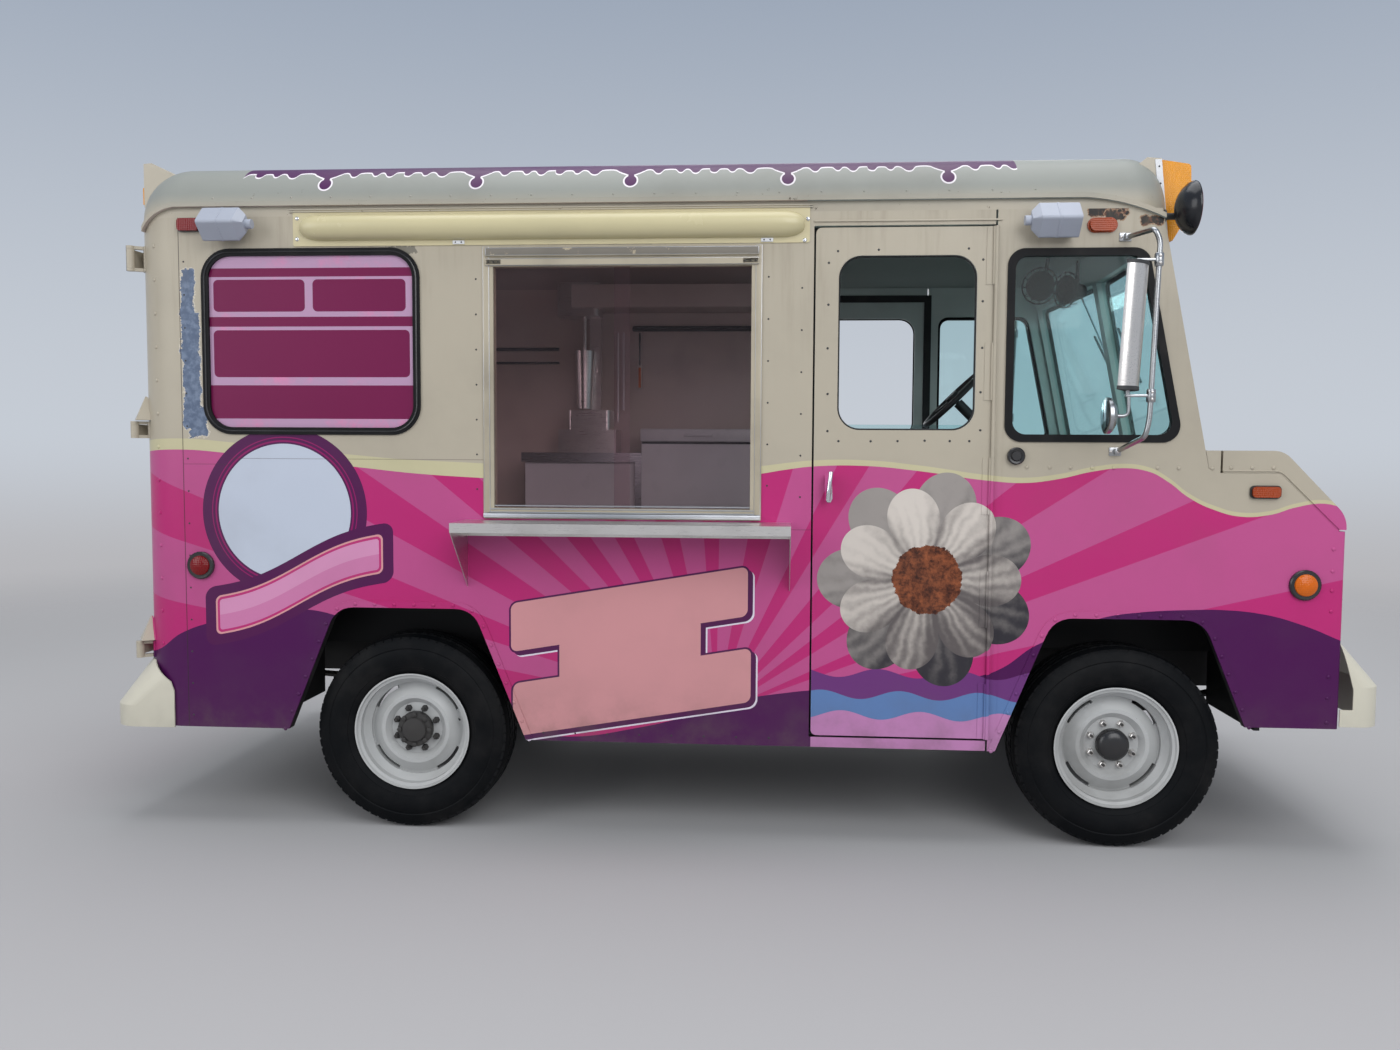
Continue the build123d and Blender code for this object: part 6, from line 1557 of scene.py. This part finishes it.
def swell(soft, bulge):
    """Presses a pad's skin outwards as cloth, by no more than the bulge."""
    scene = bpy.context.scene
    vertices = soft.data.vertices
    start = [v.co.copy() for v in vertices]
    cloth = soft.modifiers.new("swell", "CLOTH").settings
    cloth.effector_weights.gravity = 0
    cloth.use_pressure = True
    cloth.uniform_pressure_force = 4.0
    cloth.quality = 5
    for step in range(1, 21):
        scene.frame_set(step)
    view = bpy.context.evaluated_depsgraph_get()
    places = [v.co.copy() for v in soft.evaluated_get(view).data.vertices]
    soft.modifiers.clear()
    for vert, first, last in zip(vertices, start, places):
        shift = last - first
        if shift.length > bulge:
            shift = shift.normalized() * bulge
        vert.co = first + shift
    scene.frame_set(1)


def cushion(name, low, high, bulge, seams):
    """A stuffed pad that fills its own space, swelled by cloth and pulled in at its seams."""
    size = high - low
    centre = (low + high) / 2
    shrink, seam_reach = 0.012, 0.016
    bpy.ops.mesh.primitive_cube_add(size=1, location=centre)
    block = bpy.context.object
    block.scale = size - Vector((shrink, shrink, shrink)) * 2
    bpy.ops.object.transform_apply(location=True, rotation=True, scale=True)
    bevel = block.modifiers.new("round", "BEVEL")
    bevel.width = min(size) * 0.28
    bevel.segments = 4
    remesh = block.modifiers.new("even", "REMESH")
    remesh.mode = "VOXEL"
    remesh.voxel_size = 0.014
    mesh = baked(block)
    bpy.data.objects.remove(block)
    soft = into_scene(bpy.data.objects.new(name, mesh))
    swell(soft, bulge)
    for vert in mesh.vertices:
        co = vert.co
        for axis, place, depth in seams:
            gap = abs(co[axis] - place)
            if gap < seam_reach:
                co -= (co - centre).normalized() * depth * (1 - gap / seam_reach) ** 2
        for k in range(3):
            co[k] = min(max(co[k], low[k]), high[k])
    divide = soft.modifiers.new("smooth", "SUBSURF")
    divide.levels = divide.render_levels = 1
    final = baked(soft)
    bpy.data.objects.remove(soft)
    final.materials.clear()
    final.materials.append(MATERIALS["vinyl"])
    final.shade_smooth()
    return final


def make_seat():
    """The driver's cushion and back rest, stuffed pads on the pedestal."""
    x, y, top = FRONT_AXLE - 0.800, 0.440, 1.130
    bulge = 0.016
    seat = cushion("seat_pad", Vector((x - 0.210, y - 0.220, top - 0.109)),
                   Vector((x + 0.220, y + 0.220, top)), bulge, ((1, y - 0.110, 0.008), (1, y + 0.110, 0.008)))
    back = cushion("seat_back", Vector((x - 0.2395, y - 0.210, top + 0.010)),
                   Vector((x - 0.150, y + 0.210, top + 0.460)), bulge,
                   ((1, y - 0.105, 0.006), (1, y + 0.105, 0.006)))
    pad = settle(seat, "seat_pad", "truck", ("seat_cushions",))
    rest = settle(back, "seat_back", "truck")


NODE_FINISH = {
    "body": ("side_wall_left", "side_wall_right", "door_left", "door_right", "rear_frame", "rear_door_left",
             "rear_door_right", "nose", "hood_lid", "cab_frame", "door_hinges"),
    "roof": ("roof",),
    "menu": ("menu_board",),
    "glass": ("fixed_glass", "door_glass_left", "door_glass_right", "rear_door_glass_left",
              "rear_door_glass_right"),
    "wheel": ("wheel_front_left", "wheel_front_right", "wheel_rear_left", "wheel_rear_right"),
    "cream": ("roof_signs",),
    "sign_yellow": ("sign_lenses",),
    "awning": ("awning_hood",),
    "bumper": ("front_bumper", "rear_bumper"),
    "rubber": ("window_rubbers",),
    "chassis": ("chassis_frame", "drive_shaft", "front_suspension", "rear_suspension", "fuel_tank",
                "knuckle_left", "knuckle_right", "seat_pedestal"),
    "rusty": ("exhaust",),
    "iron": ("engine_block",),
    "floor_grey": ("floor",),
    "aluminium": ("grille",),
    "hatch_frame": ("serving_window",),
    "steel": ("service_shelf", "drink_mixer"),
    "chrome": ("mirrors",),
    "dark_plastic": ("dashboard", "engine_cover", "steering_column", "steering_wheel"),
    "enamel": ("freezer", "counter"),
    "speaker_white": ("speakers",),
    "black_house": ("warning_lamps",),
    "amber": ("lamps",),
    "tyre": ("tyre_front_left", "tyre_front_right", "tyre_rear_left", "tyre_rear_right"),
    "vinyl": ("seat_cushions",),
}


def make_finishes():
    """Gives every node its material, and stops if one is left without."""
    make_materials()
    done = set()
    for key, names in NODE_FINISH.items():
        for name in names:
            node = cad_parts[name]
            node.data.materials.clear()
            node.data.materials.append(MATERIALS[key])
            done.add(name)
    left = set(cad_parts) - done
    if left:
        raise RuntimeError(f"no finish for {sorted(left)}")


# Stage


def make_stage():
    """A grey floor that fades to the backdrop, four area lamps, a graded world and the camera."""
    scene = bpy.context.scene
    material, s = new_material("studio_floor")
    p = s.point()
    away = s.vector("LENGTH", p)
    base = s.add("ShaderNodeBsdfDiffuse", {"Color": (0.42, 0.42, 0.43, 1)})
    clear = s.add("ShaderNodeBsdfTransparent")
    fade = s.smooth(away, 4.0, 12.0)
    mixed = s.add("ShaderNodeMixShader", {0: fade, 1: base.outputs[0], 2: clear.outputs[0]})
    s.add("ShaderNodeOutputMaterial", {0: mixed.outputs[0]})
    radius = sizes().floor_radius
    mesh = bpy.data.meshes.new("studio_floor")
    ring = [(radius * math.cos(a), radius * math.sin(a), 0.0) for a in turns(64)]
    mesh.from_pydata(ring, [], [list(range(64))])
    mesh.materials.append(material)
    floor = into_scene(bpy.data.objects.new("studio_floor", mesh))

    world = bpy.data.worlds.new("studio_world")
    scene.world = world
    world.use_nodes = True
    world.node_tree.nodes.clear()
    w = Sheet(world.node_tree)
    rays = w.add("ShaderNodeLightPath")
    seen = w.math("MAXIMUM", rays.outputs["Is Camera Ray"], rays.outputs["Is Transmission Ray"])
    seen = w.math("MAXIMUM", seen, rays.outputs["Is Glossy Ray"])
    soft = w.add("ShaderNodeBackground", {"Color": (0.90, 0.94, 1.0, 1), "Strength": 0.55})
    # the backdrop is palest at the skyline
    height = w.split(w.add("ShaderNodeTexCoord").outputs["Generated"])[2]
    tone = w.mix(w.smooth(height, 0.0, 0.55), (0.56, 0.60, 0.66, 1), (0.26, 0.32, 0.42, 1))
    tone = w.mix(w.smooth(height, 0.02, -0.10), tone, (0.47, 0.47, 0.49, 1))
    shown = w.add("ShaderNodeBackground", {"Color": tone, "Strength": 1.0})
    mixed = w.add("ShaderNodeMixShader", {0: seen, 1: soft.outputs[0], 2: shown.outputs[0]})
    w.add("ShaderNodeOutputWorld", {0: mixed.outputs[0]})

    # name, place, target, size and power
    lamps = (("key", (3.5, -8.0, 5.5), (0.2, 0, 1.2), 6.0, 400.0),
             ("fill", (-6.5, -6.0, 4.0), (0, 0, 1.2), 5.0, 190.0),
             ("top", (0.0, 0.0, 8.0), (0, 0, 0), 7.0, 330.0),
             ("back", (1.0, 8.5, 5.0), (0, 0, 1.2), 6.0, 300.0))
    for name, place, target, size, power in lamps:
        light = bpy.data.lights.new("lamp_" + name, "AREA")
        light.size = size
        light.energy = power
        obj = into_scene(bpy.data.objects.new("lamp_" + name, light))
        obj.location = place
        obj.rotation_euler = (Vector(target) - Vector(place)).to_track_quat("-Z", "Y").to_euler()

    camera = bpy.data.cameras.new("camera")
    camera.sensor_fit = "HORIZONTAL"
    camera.sensor_width = 36.0
    camera.lens = 29.155
    camera.clip_end = 200.0
    # found by fitting the photograph's view, in radians and metres
    yaw, pitch, roll = 0.0725, -0.0635, 0.0054
    eye = Vector((0.2218, -5.099, 1.4379))
    right = Vector((math.cos(yaw), math.sin(yaw), 0))
    ahead = Vector((-math.sin(yaw), math.cos(yaw), 0))
    up = Vector((0, 0, 1))
    forward = ahead * math.cos(pitch) + up * math.sin(pitch)
    upward = up * math.cos(pitch) - ahead * math.sin(pitch)
    rolled = right * math.cos(roll) + upward * math.sin(roll)
    over = upward * math.cos(roll) - right * math.sin(roll)
    view = Matrix((rolled, over, -forward)).transposed().to_4x4()
    view.translation = eye
    scene.camera = into_scene(bpy.data.objects.new("camera", camera))
    scene.camera.matrix_world = view
    scene.view_settings.view_transform = "Standard"


# Operators


class TRUCK_OT_finishes(bpy.types.Operator):
    """Give every CAD node its finish."""

    bl_idname = "truck.finishes"
    bl_label = "Paint the frame"

    def execute(self, context):
        make_finishes()
        return {"FINISHED"}


class TRUCK_OT_body_trim(bpy.types.Operator):
    """Arch flanges, rivets, mouldings and door seals."""

    bl_idname = "truck.body_trim"
    bl_label = "Body trim"

    def execute(self, context):
        make_arch_flanges()
        make_body_rivets()
        make_gutter()
        make_door_seals()
        return {"FINISHED"}


class TRUCK_OT_doors(bpy.types.Operator):
    """Window beads, screws and pulls of the side doors."""

    bl_idname = "truck.doors"
    bl_label = "Side doors"

    def execute(self, context):
        make_doors()
        return {"FINISHED"}


class TRUCK_OT_awning(bpy.types.Operator):
    """Rolled awning housing over the hatch."""

    bl_idname = "truck.awning"
    bl_label = "Awning"

    def execute(self, context):
        make_awning()
        return {"FINISHED"}


class TRUCK_OT_hatch(bpy.types.Operator):
    """Trim of the serving hatch."""

    bl_idname = "truck.hatch"
    bl_label = "Serving hatch"

    def execute(self, context):
        make_serving_hatch()
        return {"FINISHED"}


class TRUCK_OT_windows(bpy.types.Operator):
    """Rubber beads, cap, windscreen rubbers and wipers."""

    bl_idname = "truck.windows"
    bl_label = "Windows"

    def execute(self, context):
        make_window_fittings()
        make_windscreen()
        return {"FINISHED"}


class TRUCK_OT_speakers(bpy.types.Operator):
    """Grilles and brackets of the box speakers."""

    bl_idname = "truck.speakers"
    bl_label = "Speakers"

    def execute(self, context):
        make_speakers()
        return {"FINISHED"}


class TRUCK_OT_lamps(bpy.types.Operator):
    """Side, head, tail and warning lamps."""

    bl_idname = "truck.lamps"
    bl_label = "Lamps"

    def execute(self, context):
        make_lamps()
        make_warning_lamps()
        return {"FINISHED"}


class TRUCK_OT_mirrors(bpy.types.Operator):
    """Mirror arms, heads and glasses."""

    bl_idname = "truck.mirrors"
    bl_label = "Mirrors"

    def execute(self, context):
        make_mirrors()
        return {"FINISHED"}


class TRUCK_OT_signs(bpy.types.Operator):
    """Edge strips and rivets of the front sign."""

    bl_idname = "truck.signs"
    bl_label = "Roof signs"

    def execute(self, context):
        make_signs()
        return {"FINISHED"}


class TRUCK_OT_tyres(bpy.types.Operator):
    """Tyres with tread."""

    bl_idname = "truck.tyres"
    bl_label = "Tyres"

    def execute(self, context):
        make_tyres()
        return {"FINISHED"}


class TRUCK_OT_wheels(bpy.types.Operator):
    """Nuts, caps and valves."""

    bl_idname = "truck.wheels"
    bl_label = "Wheel fittings"

    def execute(self, context):
        make_wheel_fittings()
        return {"FINISHED"}


class TRUCK_OT_rear(bpy.types.Operator):
    """Window rubbers, bolts and pull of the rear doors."""

    bl_idname = "truck.rear"
    bl_label = "Rear end"

    def execute(self, context):
        make_rear()
        return {"FINISHED"}


class TRUCK_OT_front(bpy.types.Operator):
    """Grille backing, hood lid trim and bumper bolts."""

    bl_idname = "truck.front"
    bl_label = "Front end"

    def execute(self, context):
        make_front()
        return {"FINISHED"}


class TRUCK_OT_inside(bpy.types.Operator):
    """Service fittings and cab fans."""

    bl_idname = "truck.inside"
    bl_label = "Inside"

    def execute(self, context):
        make_service_inside()
        make_cab_inside()
        return {"FINISHED"}


class TRUCK_OT_seat(bpy.types.Operator):
    """Driver's seat pads."""

    bl_idname = "truck.seat"
    bl_label = "Seat"

    def execute(self, context):
        make_seat()
        return {"FINISHED"}


class TRUCK_OT_stage(bpy.types.Operator):
    """Floor, lights, world and camera."""

    bl_idname = "truck.stage"
    bl_label = "Stage"

    def execute(self, context):
        make_stage()
        return {"FINISHED"}


OPERATORS = (TRUCK_OT_finishes, TRUCK_OT_body_trim, TRUCK_OT_doors, TRUCK_OT_awning, TRUCK_OT_hatch,
             TRUCK_OT_windows, TRUCK_OT_speakers, TRUCK_OT_lamps, TRUCK_OT_mirrors, TRUCK_OT_signs,
             TRUCK_OT_tyres, TRUCK_OT_wheels, TRUCK_OT_rear, TRUCK_OT_front, TRUCK_OT_inside,
             TRUCK_OT_seat, TRUCK_OT_stage)


class TRUCK_PT_dressing(bpy.types.Panel):
    """Shows the truck's colours and sizes, and a button for each group of pieces."""

    bl_label = "Food truck"
    bl_idname = "TRUCK_PT_dressing"
    bl_space_type = "VIEW_3D"
    bl_region_type = "UI"
    bl_category = "Food truck"

    def draw(self, context):
        layout = self.layout
        for group in (context.scene.truck_colours, context.scene.truck_sizes):
            box = layout.box()
            for key in group.__annotations__:
                box.prop(group, key)
        for item in OPERATORS:
            layout.operator(item.bl_idname)


CLASSES = (TruckColours, TruckSizes, *OPERATORS, TRUCK_PT_dressing)


def register():
    for item in CLASSES:
        bpy.utils.register_class(item)
    bpy.types.Scene.truck_colours = PointerProperty(type=TruckColours)
    bpy.types.Scene.truck_sizes = PointerProperty(type=TruckSizes)


def unregister():
    del bpy.types.Scene.truck_sizes
    del bpy.types.Scene.truck_colours
    for item in reversed(CLASSES):
        bpy.utils.unregister_class(item)


def main():
    """Registers the add-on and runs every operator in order."""
    register()
    for item in OPERATORS:
        group, name = item.bl_idname.split(".")
        getattr(getattr(bpy.ops, group), name)()


if __name__ == "__main__":
    main()
